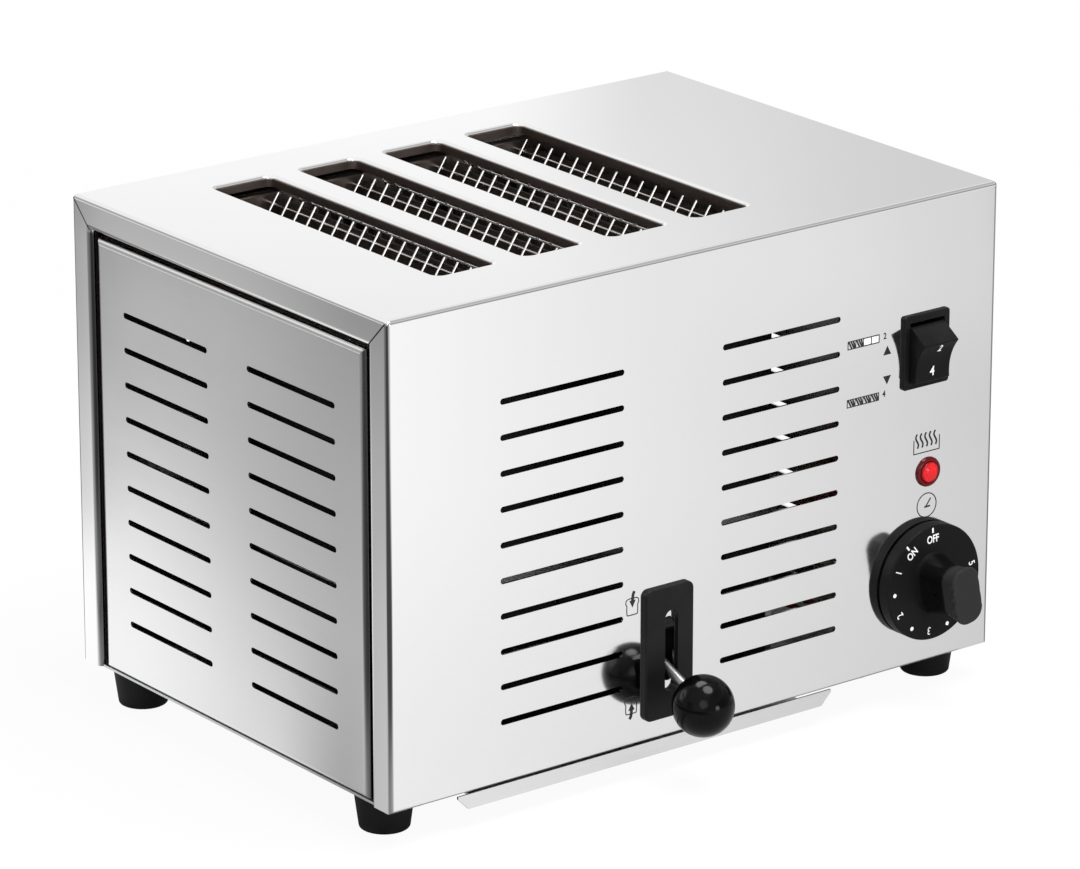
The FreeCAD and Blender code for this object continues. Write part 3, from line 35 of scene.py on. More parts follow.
MM = 0.001
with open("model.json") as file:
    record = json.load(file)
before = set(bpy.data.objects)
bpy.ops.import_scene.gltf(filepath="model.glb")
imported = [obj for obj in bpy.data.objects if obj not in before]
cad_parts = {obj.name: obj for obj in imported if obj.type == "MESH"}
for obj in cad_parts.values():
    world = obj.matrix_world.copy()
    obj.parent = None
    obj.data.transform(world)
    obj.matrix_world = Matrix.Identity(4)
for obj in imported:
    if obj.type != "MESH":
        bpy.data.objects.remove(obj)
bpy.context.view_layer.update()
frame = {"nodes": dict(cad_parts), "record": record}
nodes = frame["nodes"]
housing_low, housing_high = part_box("outer_housing")
FRONT = housing_low.y
BACK = housing_high.y
LEFT = housing_low.x
RIGHT = housing_high.x
TOP = housing_high.z


# Camera

CAMERA_AZIMUTH = math.radians(-37.613)
CAMERA_ELEVATION = math.radians(18.849)
CAMERA_DISTANCE = 2.42646
CAMERA_TARGET = Vector((0.00171, 0.01035, 0.10826))
SENSOR = 36
LENS = 199.63


def camera():
    back = Vector((math.sin(CAMERA_AZIMUTH) * math.cos(CAMERA_ELEVATION),
                   -math.cos(CAMERA_AZIMUTH) * math.cos(CAMERA_ELEVATION),
                   math.sin(CAMERA_ELEVATION)))
    data = bpy.data.cameras.new("camera")
    data.sensor_width = SENSOR
    data.lens = LENS
    data.clip_start = 0.05
    data.clip_end = 60
    made = bpy.data.objects.new("camera", data)
    made.location = CAMERA_TARGET + back * CAMERA_DISTANCE
    made.rotation_euler = back.to_track_quat("Z", "Y").to_euler()
    bpy.context.scene.collection.objects.link(made)
    bpy.context.scene.camera = made


# Node trees

class Graph:
    """Short calls that build one node tree."""

    def __init__(self, tree):
        self.tree = tree
        tree.nodes.clear()

    def feed(self, socket, value):
        if isinstance(value, bpy.types.NodeSocket):
            self.tree.links.new(value, socket)
        else:
            socket.default_value = value

    def add(self, kind, inputs=(), **settings):
        node = self.tree.nodes.new(kind)
        for name, value in settings.items():
            setattr(node, name, value)
        for name, value in dict(inputs).items():
            self.feed(node.inputs[name], value)
        return node

    def math(self, operation, first, *others):
        """One operation over all the values in turn."""
        made = first
        for value in others:
            made = self.add("ShaderNodeMath", {0: made, 1: value}, operation=operation).outputs[0]
        return made

    def plus(self, *values):
        return self.math("ADD", *values)

    def minus(self, a, b):
        return self.math("SUBTRACT", a, b)

    def times(self, *values):
        return self.math("MULTIPLY", *values)

    def rest_of(self, share):
        return self.minus(1.0, share)

    def between(self, share, a, b):
        """a where the share is 0, b where it is 1."""
        return self.plus(self.times(a, self.rest_of(share)), self.times(b, share))

    def spread(self, value, start, end, low, high, smooth=True):
        """Map a value from start..end to low..high, held at both ends."""
        kind = "SMOOTHSTEP" if smooth else "LINEAR"
        inputs = {"Value": value, "From Min": start, "From Max": end, "To Min": low, "To Max": high}
        return self.add("ShaderNodeMapRange", inputs, interpolation_type=kind).outputs["Result"]

    def rise(self, value, start, end):
        """0 up to the start, 1 past the end."""
        return self.spread(value, start, end, 0.0, 1.0)

    def fall(self, value, start, end):
        """1 up to the start, 0 past the end."""
        return self.spread(value, start, end, 1.0, 0.0)

    def mottle(self, noise, low=0.0, high=1.0):
        """Bring a noise's usual range to low..high."""
        return self.spread(noise, 0.3, 0.7, low, high)

    def place(self):
        """A point's place on the object, in metres."""
        return self.add("ShaderNodeTexCoord").outputs["Object"]

    def stretch(self, vector, scale):
        return self.add("ShaderNodeMapping", {"Vector": vector, "Scale": scale}).outputs["Vector"]

    def noise(self, vector, scale, detail=3.0, rough=0.55):
        inputs = {"Vector": vector, "Scale": scale, "Detail": detail, "Roughness": rough}
        return self.add("ShaderNodeTexNoise", inputs).outputs["Fac"]

    def blend(self, share, a, b):
        node = self.add("ShaderNodeMix", data_type="RGBA")
        for name, value in (("Factor_Float", share), ("A_Color", a), ("B_Color", b)):
            socket = [item for item in node.inputs if item.identifier == name][0]
            self.feed(socket, value)
        return [item for item in node.outputs if item.identifier == "Result_Color"][0]

    def split(self, vector):
        return self.add("ShaderNodeSeparateXYZ", {"Vector": vector}).outputs

    def bump(self, height, strength, distance):
        inputs = {"Height": height, "Strength": strength, "Distance": distance}
        return self.add("ShaderNodeBump", inputs).outputs["Normal"]

    def surface(self, **sockets):
        """The finished surface; names use _ for a space."""
        shader = self.add("ShaderNodeBsdfPrincipled")
        for name, value in sockets.items():
            self.feed(shader.inputs[name.replace("_", " ")], value)
        out = self.add("ShaderNodeOutputMaterial")
        self.tree.links.new(shader.outputs[0], out.inputs["Surface"])
        return shader


def material(name):
    made = bpy.data.materials.new(name)
    made.use_nodes = True
    return made, Graph(made.node_tree)


def grey(value, tint=(1, 1, 1)):
    return tuple(value * part for part in tint) + (1.0,)


def scaled(colour, share):
    return tuple(share * part for part in colour[:3]) + (1,)


# Materials

# Inside the housing the steel is painted dark brown: partly heat tint, partly painted shade and a painted
# warm reflection
HEAT_TINT_AND_PAINTED_SHADE = (0.24, 0.195, 0.175, 1)
# Painted shade for the rolled edges beside the gaps and for the upright bends
PAINTED_EDGE_SHADE = (0.09, 0.09, 0.092, 1)

# How deep the sides' rolled edges reach, how wide the flanges are, and where the side panels start
SIDE_ROLL = 1.5 * MM
FLANGE = 12.5 * MM
PANEL_EDGE = FRONT + 15.7 * MM


def depth_inside(g, place):
    """How deep a point lies behind the housing's faces, in metres; at the sides past their rolled edges."""
    parts = g.split(place)
    from_left = g.minus(parts["X"], LEFT + SIDE_ROLL)
    from_right = g.minus(RIGHT - SIDE_ROLL, parts["X"])
    from_front = g.minus(parts["Y"], FRONT)
    from_back = g.minus(BACK, parts["Y"])
    from_top = g.minus(TOP, parts["Z"])
    return g.math("MINIMUM", from_left, from_right, from_front, from_back, from_top)


def painted_gap_shade(g, place, gap):
    """How much painted shade darkens the rolled edge beside a side panel's gap, for the dark it mirrors; gap
    is the place in Y where the roll ends.
    """
    parts = g.split(place)
    on_left = g.fall(parts["X"], LEFT + 3 * MM, LEFT + 3.6 * MM)
    on_right = g.rise(parts["X"], RIGHT - 3.6 * MM, RIGHT - 3 * MM)
    below_top = g.fall(parts["Z"], TOP - 14 * MM, TOP - 12.6 * MM)
    inner_edge = g.rise(parts["Y"], gap - 1.2 * MM, gap - 0.2 * MM)
    outer_edge = g.spread(parts["Y"], gap + 0.2 * MM, gap + 2.7 * MM, 0.93, 0.0)
    return g.times(inner_edge, outer_edge, g.plus(on_left, on_right), below_top)


def painted_corner_shade(g, place):
    """How much painted shade darkens the upright bends at the housing's corners."""
    parts = g.split(place)
    sideways = g.math("MINIMUM", g.minus(parts["X"], LEFT), g.minus(RIGHT, parts["X"]))
    endways = g.math("MINIMUM", g.minus(parts["Y"], FRONT), g.minus(BACK, parts["Y"]))
    return g.spread(g.plus(sideways, endways), 1.1 * MM, 1.9 * MM, 0.72, 0.0)


def steel(name, colour, rough, grain, tint=(1, 1, 1), marks=0.02, depth=0.05, shade=0.03, skin=None,
          gap=None, corners=False):
    """Sheet steel: grain says how fast its fine lines run along each axis, shade how dark and depth how deep
    they are, and marks how uneven the gloss is. Behind its skin it is dull and painted dark brown, partly
    heat tint and partly painted shade and reflection; the rolled edge by a gap, and with corners the upright
    bends, get painted shade."""
    made, g = material(name)
    place = g.place()
    lines = g.noise(g.stretch(place, grain), 1.0, 4.0, 0.6)
    clouds = g.noise(place, 22.0, 4.0, 0.6)
    smears = g.noise(g.stretch(place, (9, 5, 14)), 3.0, 2.0)
    light = g.mottle(lines)
    base = g.blend(light, grey(colour * (1 - shade), tint), grey(colour, tint))
    roughness = g.plus(g.mottle(clouds, -marks, marks), g.spread(smears, 0.4, 0.7, 0.0, marks), rough)
    if skin:
        within = g.rise(depth_inside(g, place), skin, skin + 0.1 * MM)
        # Painted shade on the rolled edge beside the gap, standing in for the dark it mirrors
        base = g.blend(painted_gap_shade(g, place, gap), base, PAINTED_EDGE_SHADE)
        if corners:
            # Painted shade on the upright bends at the corners
            base = g.blend(painted_corner_shade(g, place), base, PAINTED_EDGE_SHADE)
        # Behind the skin: partly heat tint, partly painted shade and a painted warm reflection
        base = g.blend(within, base, HEAT_TINT_AND_PAINTED_SHADE)
        roughness = g.plus(roughness, g.times(within, 0.3))
    g.surface(Base_Color=base, Metallic=1.0, Roughness=roughness, Normal=g.bump(lines, depth, 0.05 * MM))
    return made


def heat_tint_and_painted_shade_steel(name, colour):
    """Near-black sheet steel, partly heat tint and partly painted shade deep in the chamber; darker in
    patches, and lighter along its top edge.
    """
    made, g = material(name)
    place = g.place()
    height = g.split(place)["Z"]
    patches = g.noise(place, 30.0, 5.0, 0.6)
    # Near black: partly heat tint, partly painted shade deep in the chamber
    dark = g.blend(g.mottle(patches), colour, scaled(colour, 0.6))
    base = g.blend(g.rise(height, 192 * MM, 200 * MM), dark, (0.26, 0.22, 0.20, 1))
    fine = g.noise(g.stretch(place, (900, 900, 40)), 1.0, 2.0)
    rough = g.mottle(patches, 0.3, 0.48)
    g.surface(Base_Color=base, Metallic=0.9, Roughness=rough, Normal=g.bump(fine, 0.08, 0.05 * MM))
    return made


def wire(name):
    """Drawn wire, bright above and straw-coloured lower down, where it gets hot."""
    made, g = material(name)
    place = g.place()
    height = g.split(place)["Z"]
    patches = g.noise(place, 60.0, 3.0)
    heated = g.spread(height, 120 * MM, 190 * MM, 0.75, 0.1)
    warmth = g.times(heated, g.spread(patches, 0.35, 0.65, 0.5, 1.0))
    base = g.blend(warmth, grey(0.82, (1, 0.995, 0.98)), (0.52, 0.42, 0.32, 1))
    g.surface(Base_Color=base, Metallic=1.0, Roughness=g.mottle(patches, 0.18, 0.3),
              Normal=g.bump(g.noise(g.stretch(place, (2500, 2500, 120)), 1.0), 0.06, 0.04 * MM))
    return made


def plastic(name, colour, rough, grain=900.0, depth=0.12, specular=0.35, wear=0.015):
    """Moulded plastic with a fine texture and slightly uneven gloss."""
    made, g = material(name)
    place = g.place()
    fine = g.noise(place, grain, 2.0)
    broad = g.noise(place, 60.0, 3.0)
    base = g.blend(g.mottle(broad), colour, tuple(c + wear for c in colour[:3]) + (1,))
    g.surface(Base_Color=base, Roughness=g.mottle(broad, rough - 0.05, rough + 0.05),
              Specular_IOR_Level=specular, Normal=g.bump(fine, depth, 0.04 * MM))
    return made


def knob_plastic(name):
    """Moulded black with painted light and shade: greyer over the front of the grip as painted light, deepest
    on its neck as painted shade.
    """
    made, g = material(name)
    place = g.place()
    broad = g.noise(place, 60.0, 3.0)
    reach = g.split(place)["Y"]
    # Painted light: the grip's front is greyer, as if lit
    painted_lit_front = g.fall(reach, FRONT - 20 * MM, FRONT - 18.5 * MM)
    share = g.times(painted_lit_front, g.mottle(broad, 0.85, 1.0))
    # Painted shade: the neck is darkest
    neck = g.rise(reach, FRONT - 8.5 * MM, FRONT - 6.8 * MM)
    base = g.blend(share, g.blend(neck, grey(0.002), grey(0.008)), grey(0.028))
    g.surface(Base_Color=base, Roughness=g.mottle(broad, 0.38, 0.46), Specular_IOR_Level=0.06,
              Normal=g.bump(g.noise(place, 1200.0, 2.0), 0.12, 0.04 * MM))
    return made


def gloss_black(name):
    """Polished phenolic with the faintest waviness."""
    made, g = material(name)
    place = g.place()
    broad = g.noise(place, 120.0, 2.0)
    scuffs = g.noise(g.stretch(place, (700, 240, 1100)), 1.0, 4.0)
    rough = g.spread(scuffs, 0.45, 0.75, 0.12, 0.2)
    base = g.blend(g.mottle(broad), grey(0.001), grey(0.002))
    g.surface(Base_Color=base, Roughness=rough, Specular_IOR_Level=0.12, Normal=g.bump(broad, 0.03, 0.1 * MM))
    return made


def rubber(name):
    """Dull rubber, a little dusty where it meets the table."""
    made, g = material(name)
    place = g.place()
    fine = g.noise(place, 1400.0, 3.0)
    dust = g.noise(place, 90.0, 4.0)
    low = g.spread(g.split(place)["Z"], 0.0, 4 * MM, 0.6, 0.0)
    share = g.times(g.rise(dust, 0.4, 0.7), low)
    base = g.blend(share, grey(0.006), grey(0.03))
    g.surface(Base_Color=base, Roughness=0.62, Specular_IOR_Level=0.15, Normal=g.bump(fine, 0.25, 0.06 * MM))
    return made


def mica(name):
    """Flaked board, in silvery brown layers."""
    made, g = material(name)
    place = g.place()
    flakes = g.add("ShaderNodeTexVoronoi", {"Vector": place, "Scale": 260.0}).outputs["Distance"]
    broad = g.noise(place, 30.0, 4.0)
    warm = g.blend(g.mottle(broad), (0.05, 0.037, 0.028, 1), (0.075, 0.058, 0.044, 1))
    base = g.blend(g.spread(flakes, 0.1, 0.6, 0.0, 0.5), warm, (0.11, 0.09, 0.07, 1))
    g.surface(Base_Color=base, Roughness=g.spread(flakes, 0.0, 0.6, 0.35, 0.6), Specular_IOR_Level=0.25,
              Normal=g.bump(flakes, 0.3, 0.1 * MM))
    return made


def heating_ribbon(name):
    """Resistance ribbon, browned in patches."""
    made, g = material(name)
    place = g.place()
    patches = g.noise(place, 400.0, 3.0)
    base = g.blend(g.mottle(patches), (0.16, 0.12, 0.10, 1), (0.34, 0.26, 0.2, 1))
    g.surface(Base_Color=base, Metallic=0.85, Roughness=0.42, Normal=g.bump(patches, 0.2, 0.05 * MM))
    return made


def ink(name, colour, rough=0.5):
    """Screen print, a little uneven at its edges."""
    made, g = material(name)
    place = g.place()
    broad = g.noise(place, 700.0, 3.0)
    base = g.blend(g.mottle(broad), colour, scaled(colour, 0.93))
    g.surface(Base_Color=base, Roughness=rough, Specular_IOR_Level=0.3, Normal=g.bump(broad, 0.1, 0.02 * MM))
    return made


def lamp_plastic(name, rim, heart, bright_to, dark_from, centre, glow=0.0):
    """Clear red plastic: its bright heart ends at one radius and its dark rim starts at another."""
    made, g = material(name)
    parts = g.split(g.place())
    across = g.minus(parts["X"], centre[0])
    up = g.minus(parts["Z"], centre[1])
    radius = g.math("POWER", g.plus(g.times(across, across), g.times(up, up)), 0.5)
    cloud = g.noise(g.place(), 500.0, 2.0)
    wander = g.plus(radius, g.mottle(cloud, -0.3 * MM, 0.3 * MM))
    base = g.blend(g.fall(wander, bright_to, dark_from), rim, heart)
    g.surface(Base_Color=base, Roughness=g.mottle(cloud, 0.06, 0.12), Specular_IOR_Level=0.2,
              Emission_Color=base, Emission_Strength=glow)
    return made


def cream_case(name):
    """The timer's moulded case."""
    made, g = material(name)
    place = g.place()
    broad = g.noise(place, 50.0, 4.0)
    base = g.blend(g.mottle(broad), (0.66, 0.62, 0.52, 1), (0.76, 0.73, 0.64, 1))
    g.surface(Base_Color=base, Roughness=0.45, Normal=g.bump(g.noise(place, 900.0), 0.1, 0.05 * MM))
    return made


def middle(node):
    """The middle of a node's box, across and up, in metres."""
    low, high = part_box(node)
    return (low.x + high.x) / 2, (low.z + high.z) / 2


# Grain: how fast its lines run along X, Y and Z
ALONG_X = (14, 2200, 2200)
ALONG_Y = (2200, 14, 2200)
EVEN = (300, 300, 300)

LAMP_X, LAMP_Z = middle("lamp_lens")

FINISH = {
    "polished_steel": steel("polished_steel", 0.90, 0.08, ALONG_X, marks=0.008, depth=0.004, shade=0.006,
                            skin=0.95 * MM, gap=BACK - FLANGE, corners=True),
    "satin_steel": steel("satin_steel", 0.84, 0.17, ALONG_Y, marks=0.015, depth=0.015, shade=0.02,
                         skin=2.2 * MM, gap=PANEL_EDGE),
    "sheet_steel": steel("sheet_steel", 0.60, 0.32, ALONG_X, tint=(0.98, 1, 1.02), marks=0.05),
    "tray_steel": steel("tray_steel", 0.84, 0.16, ALONG_X, marks=0.015, depth=0.02),
    "zinc_steel": steel("zinc_steel", 0.62, 0.34, EVEN, tint=(0.99, 1, 1.03), marks=0.06, depth=0.1),
    "bright_steel": steel("bright_steel", 0.36, 0.36, ALONG_X, marks=0.03, depth=0.05),
    "chamber_steel": heat_tint_and_painted_shade_steel("chamber_steel", (0.06, 0.054, 0.05, 1)),
    "wire_steel": wire("wire_steel"),
    "mica": mica("mica"),
    "heating_ribbon": heating_ribbon("heating_ribbon"),
    "foot_rubber": rubber("foot_rubber"),
    "matt_black": plastic("matt_black", grey(0.007), 0.42, specular=0.12, wear=0.004),
    "gloss_black": gloss_black("gloss_black"),
    "switch_black": plastic("switch_black", grey(0.006), 0.36, specular=0.10, wear=0.004),
    "knob_black": knob_plastic("knob_black"),
    "timer_case": cream_case("timer_case"),
    "wire_cover": plastic("wire_cover", (0.42, 0.05, 0.03, 1), 0.5, grain=300.0),
    "lamp_collar_red": lamp_plastic("lamp_collar_red", (0.085, 0.003, 0.005, 1), (0.13, 0.005, 0.007, 1),
                                    bright_to=4.4 * MM, dark_from=6.2 * MM, centre=(LAMP_X, LAMP_Z)),
    "lamp_red": lamp_plastic("lamp_red", (0.22, 0.005, 0.008, 1), (0.62, 0.014, 0.018, 1),
                             bright_to=3.3 * MM, dark_from=4.4 * MM, centre=(LAMP_X, LAMP_Z), glow=0.12),
}
BLACK_INK = ink("black_ink", grey(0.014))
WHITE_INK = ink("white_ink", grey(0.95), 0.45)
SEAM = ink("seam_shadow", grey(0.03), 0.8)


def finish_nodes():
    """Give each solid the finish of its slot."""
    slots = {part["node"]: part["material_slot"] for part in frame["record"]["subparts"]}
    for name, thing in nodes.items():
        thing.data.materials.clear()
        thing.data.materials.append(FINISH[slots[name]])


# Mesh helpers

def piece(name, bm, look, body, smooth=False):
    """Turn a bmesh into a piece that rides on a body."""
    bmesh.ops.remove_doubles(bm, verts=bm.verts, dist=1e-8)
    bmesh.ops.recalc_face_normals(bm, faces=bm.faces)
    data = bpy.data.meshes.new(name)
    bm.to_mesh(data)
    bm.free()
    for face in data.polygons:
        face.use_smooth = smooth
    data.materials.append(look)
    made = bpy.data.objects.new(name, data)
    bpy.context.scene.collection.objects.link(made)
    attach(made, body)
    return made


# How proud a print stands, and how deep its underside lies as a share of that
INK = 0.06 * MM
SUNK = 1 / 3


def on_front(x, z, out):
    """A place on the front panel: x and z in millimetres, out in metres."""
    return Vector((x * MM, FRONT - out, z * MM))


def prism(bm, outline, lay=on_front, thick=INK):
    """A flat printed shape."""
    upper = [bm.verts.new(lay(x, z, thick)) for x, z in outline]
    lower = [bm.verts.new(lay(x, z, -thick * SUNK)) for x, z in outline]
    bm.faces.new(upper)
    bm.faces.new(lower[::-1])
    count = len(outline)
    for i in range(count):
        after = (i + 1) % count
        bm.faces.new((upper[i], lower[i], lower[after], upper[after]))


# The least cosine that a line's corner is widened by
SHARPEST = 0.4


def stroke(bm, points, width, lay=on_front, closed=False, thick=INK):
    """A printed line of one width along points."""
    spots = [Vector(p) for p in points]
    count = len(spots)
    rings = []
    for i, spot in enumerate(spots):
        before = spots[i - 1] if i or closed else None
        after = spots[(i + 1) % count] if i < count - 1 or closed else None
        arrive = (spot - before).normalized() if before is not None else (after - spot).normalized()
        leave = (after - spot).normalized() if after is not None else arrive
        middle = (arrive + leave).normalized()
        side = Vector((-middle.y, middle.x))
        reach = width / 2 / max(SHARPEST, side.dot(Vector((-leave.y, leave.x))))
        a, b = spot + side * reach, spot - side * reach
        section = ((a, thick), (b, thick), (b, -thick * SUNK), (a, -thick * SUNK))
        rings.append([bm.verts.new(lay(p.x, p.y, h)) for p, h in section])
    links = count if closed else count - 1
    for i in range(links):
        one, two = rings[i], rings[(i + 1) % count]
        for k in range(4):
            after = (k + 1) % 4
            bm.faces.new((one[k], two[k], two[after], one[after]))
    if not closed:
        bm.faces.new(rings[0])
        bm.faces.new(rings[-1][::-1])


def curve_through(points, steps=6, closed=False):
    """A smooth line through points."""
    spots = [Vector(p) for p in points]
    count = len(spots)
    made = []
    spans = count if closed else count - 1
    for i in range(spans):
        if closed:
            p0, p1, p2, p3 = (spots[(i + k) % count] for k in (-1, 0, 1, 2))
        else:
            p0, p1, p2, p3 = (spots[min(max(i + k, 0), count - 1)] for k in (-1, 0, 1, 2))
        for s in range(steps):
            t = s / steps
            made.append(0.5 * (2 * p1 + (p2 - p0) * t + (2 * p0 - 5 * p1 + 4 * p2 - p3) * t * t
                               + (3 * p1 - p0 - 3 * p2 + p3) * t * t * t))
    if not closed:
        made.append(spots[-1])
    return made


def ring_points(x, z, radius, count=48):
    """Points round a circle."""
    turn = 2 * math.pi / count
    return [(x + radius * math.cos(i * turn), z + radius * math.sin(i * turn)) for i in range(count)]


def extent(values):
    """The lowest and the highest of the values."""
    return min(values), max(values)


def letters(bm, text, x, z, height, lay=on_front, turn=0.0, narrow=0.85, bold=0.018):
    """Plain figures or letters about a point, turned counter-clockwise by turn, in radians."""
    data = bpy.data.curves.new("letters", "FONT")
    data.body = text
    data.align_x = "CENTER"
    data.align_y = "CENTER"
    data.resolution_u = 4
    data.offset = bold
    holder = bpy.data.objects.new("letters", data)
    bpy.context.scene.collection.objects.link(holder)
    bpy.context.view_layer.update()
    flat = bpy.data.meshes.new_from_object(holder.evaluated_get(bpy.context.evaluated_depsgraph_get()))
    left, right = extent([v.co.x for v in flat.vertices])
    low, high = extent([v.co.y for v in flat.vertices])
    scale = height / (high - low)
    sheet = bmesh.new()
    sheet.from_mesh(flat)
    bmesh.ops.remove_doubles(sheet, verts=sheet.verts, dist=1e-5)
    cos, sin = math.cos(turn), math.sin(turn)
    top = {}
    bottom = {}
    for v in sheet.verts:
        u = (v.co.x - (left + right) / 2) * scale * narrow
        w = (v.co.y - (low + high) / 2) * scale
        px, pz = x + u * cos - w * sin, z + u * sin + w * cos
        top[v.index] = bm.verts.new(lay(px, pz, INK))
        bottom[v.index] = bm.verts.new(lay(px, pz, -INK * SUNK))
    sheet.verts.index_update()
    for face in sheet.faces:
        ids = [v.index for v in face.verts]
        bm.faces.new([top[i] for i in ids])
        bm.faces.new([bottom[i] for i in reversed(ids)])
    for edge in sheet.edges:
        if len(edge.link_faces) == 1:
            a, b = (v.index for v in edge.verts)
            bm.faces.new((top[a], bottom[a], bottom[b], top[b]))
    sheet.free()
    bpy.data.objects.remove(holder)
    bpy.data.meshes.remove(flat)


def lathe(bm, profile, centre, count=64):
    """Turn a profile of (radius, y) pairs about an axis along Y; it starts and ends on the axis or closes."""
    rings = []
    for radius, y in profile:
        if not radius:
            rings.append([bm.verts.new((centre[0], y, centre[1]))])
            continue
        rings.append([bm.verts.new((x, y, z)) for x, z in ring_points(*centre, radius, count)])
    for one, two in zip(rings, rings[1:]):
        for i in range(count):
            after = (i + 1) % count
            if len(one) == 1:
                bm.faces.new((one[0], two[i], two[after]))
            elif len(two) == 1:
                bm.faces.new((one[i], two[0], one[after]))
            else:
                bm.faces.new((one[i], two[i], two[after], one[after]))


# Printed signs on the front, in millimetres

OUTLINE = 0.42
BAR_LINE = 0.4
BAR_MARGIN = 0.2
HATCHES = 3
HATCH_LEAN = 1.5
HATCH_LINE = 0.74


def hatched_bar(bm, left, right, low, high, filled, cells=4):
    """A row of cells, of which the first few are hatched."""
    width = (right - left) / cells
    stroke(bm, [(left, low), (right, low), (right, high), (left, high)], BAR_LINE, closed=True)
    for i in range(1, cells):
        x = left + i * width
        stroke(bm, [(x, low), (x, high)], BAR_LINE * 0.8, thick=INK * 0.9)
    for i in range(filled):
        start = left + i * width
        for k in range(HATCHES):
            x = start + (k + 0.3) * (width - 0.5) / HATCHES + 0.1
            end = min(x + HATCH_LEAN, start + width - BAR_MARGIN)
            stroke(bm, [(x, high - BAR_MARGIN), (end, low + BAR_MARGIN)], HATCH_LINE, thick=INK * 0.8)


def switch_marks():
    """Two bars, half and wholly hatched, with a figure at each and an arrow toward it."""
    bm = bmesh.new()
    hatched_bar(bm, left=74.1, right=90.3, low=157.2, high=160.4, filled=2)
    hatched_bar(bm, left=74.2, right=90.6, low=132.9, high=136.0, filled=4)
    up = [(92.7, 151.2), (96.8, 151.2), (94.75, 154.9)]
    down = [(92.8, 142.3), (94.85, 138.7), (96.9, 142.3)]
    prism(bm, up)
    prism(bm, down)
    letters(bm, "2", 93.4, 159.3, height=2.7)
    letters(bm, "4", 93.4, 135.0, height=2.7)
    piece("switch_marks", bm, BLACK_INK, "housing")


def switch_blanks():
    """The two white cells of the upper bar."""
    bm = bmesh.new()
    low, high, wide = 157.6, 160.0, 3.4
    for left in (82.5, 86.55):
        corners = [(left, low), (left + wide, low), (left + wide, high), (left, high)]
        prism(bm, corners, thick=INK * 0.6)
    piece("switch_blanks", bm, WHITE_INK, "housing")


def lamp_mark():
    """Five waves over an open box: warm air."""
    bm = bmesh.new()
    left, right, low, high = 109.9, 123.5, 105.7, 111.7
    stroke(bm, [(left, high), (left, low), (right, low), (right, high)], OUTLINE)
    first_wave, wave_pitch, wave_width = 110.9, 2.41, 0.8
    for i in range(5):
        x = first_wave + i * wave_pitch
        swing = [(x + 0.7, 114.0), (x + 0.15, 113.2), (x, 112.3), (x + 0.5, 111.2), (x + 1.15, 110.1),
                 (x + 1.4, 109.1), (x + 1.0, 107.9)]
        stroke(bm, curve_through(swing), wave_width, thick=INK * 0.9)
    piece("lamp_mark", bm, BLACK_INK, "housing")


def timer_mark():
    """A clock face with two hands."""
    bm = bmesh.new()
    x, z, radius = 117.4, 82.7, 5.1
    long_hand = [(x - 0.7, z - 0.9), (x + 2.1, z + 2.7)]
    short_hand = [(x - 1.2, z - 0.7), (x + 1.9, z - 0.6)]
    stroke(bm, ring_points(x, z, radius), 0.45, closed=True)
    stroke(bm, long_hand, 0.6, thick=INK * 0.9)
    stroke(bm, short_hand, 0.7, thick=INK * 0.8)
    piece("timer_mark", bm, BLACK_INK, "housing")


def slice_outline(bm, x, low):
    """The outline of a slice of bread, 7 mm tall."""
    side = [(2.6, 0.4), (2.75, 2.2), (2.7, 3.9), (3.2, 4.9), (3.0, 6.1), (1.9, 6.8)]
    outline = [(x + u, low + v) for u, v in side]
    outline += [(x - u, low + v) for u, v in reversed(side)]
    outline += [(x - 2.1, low), (x, low - 0.05), (x + 2.1, low)]
    stroke(bm, curve_through(outline, 4, closed=True), OUTLINE, closed=True)


def arrow(bm, x, tail, tip):
    """An upright arrow whose tail bends aside: to the right when it points down, to the left when up."""
    way = 1 if tip > tail else -1
    head, half_head, shaft_width = 3.0, 1.55, 1.35
    base = tip - way * head
    shaft = [(x - way * 1.0, tail), (x - way * 0.3, tail + way * 1.2), (x, base)]
    stroke(bm, curve_through(shaft, 5), shaft_width, thick=INK * 1.1)
    prism(bm, [(x - half_head, base), (x + half_head, base), (x, tip)], thick=INK * 1.2)


def lift_marks():
    """A slice with an arrow into it over the lever's plate, and one with an arrow from below under it."""
    bm = bmesh.new()
    slice_outline(bm, -34.5, 70.1)
    arrow(bm, -34.4, tail=79.7, tip=73.1)
    slice_outline(bm, -34.8, 28.7)
    arrow(bm, -34.6, tail=26.5, tip=33.1)
    piece("lift_marks", bm, BLACK_INK, "housing")


# Marks on the dial: angles counter-clockwise from the top in degrees, radii in millimetres

DIAL_X, DIAL_Z = (part / MM for part in middle("timer_spindle"))
SKIRT_FACE = 6.2 * MM
WORD_ANGLES = {"OFF": 3, "ON": 39}
FIGURE_ANGLES = {"1": 66.5, "2": 120.5, "3": 174.2, "4": 228.3, "5": 281}
DOT_ANGLES = (93.3, 147.2, 201.5, 255)
TICK_OUTER = 23.75
TICK_INNER = 21.6
TICK_WIDTH = 0.8
WORD_RADIUS = 19.0
WORD_HEIGHT = 3.4
FIGURE_RADIUS = 20.7
FIGURE_HEIGHT = 3.2
DOTS_RADIUS = 20.9
DOT_SIZE = 0.85


def on_dial(x, z, out):
    """A place on the dial's skirt: x and z in millimetres, out in metres."""
    return Vector((x * MM, FRONT - SKIRT_FACE - out, z * MM))


def dial_point(angle, radius):
    """A place on the dial by its angle and radius."""
    turn = math.radians(angle)
    return DIAL_X - radius * math.sin(turn), DIAL_Z + radius * math.cos(turn)


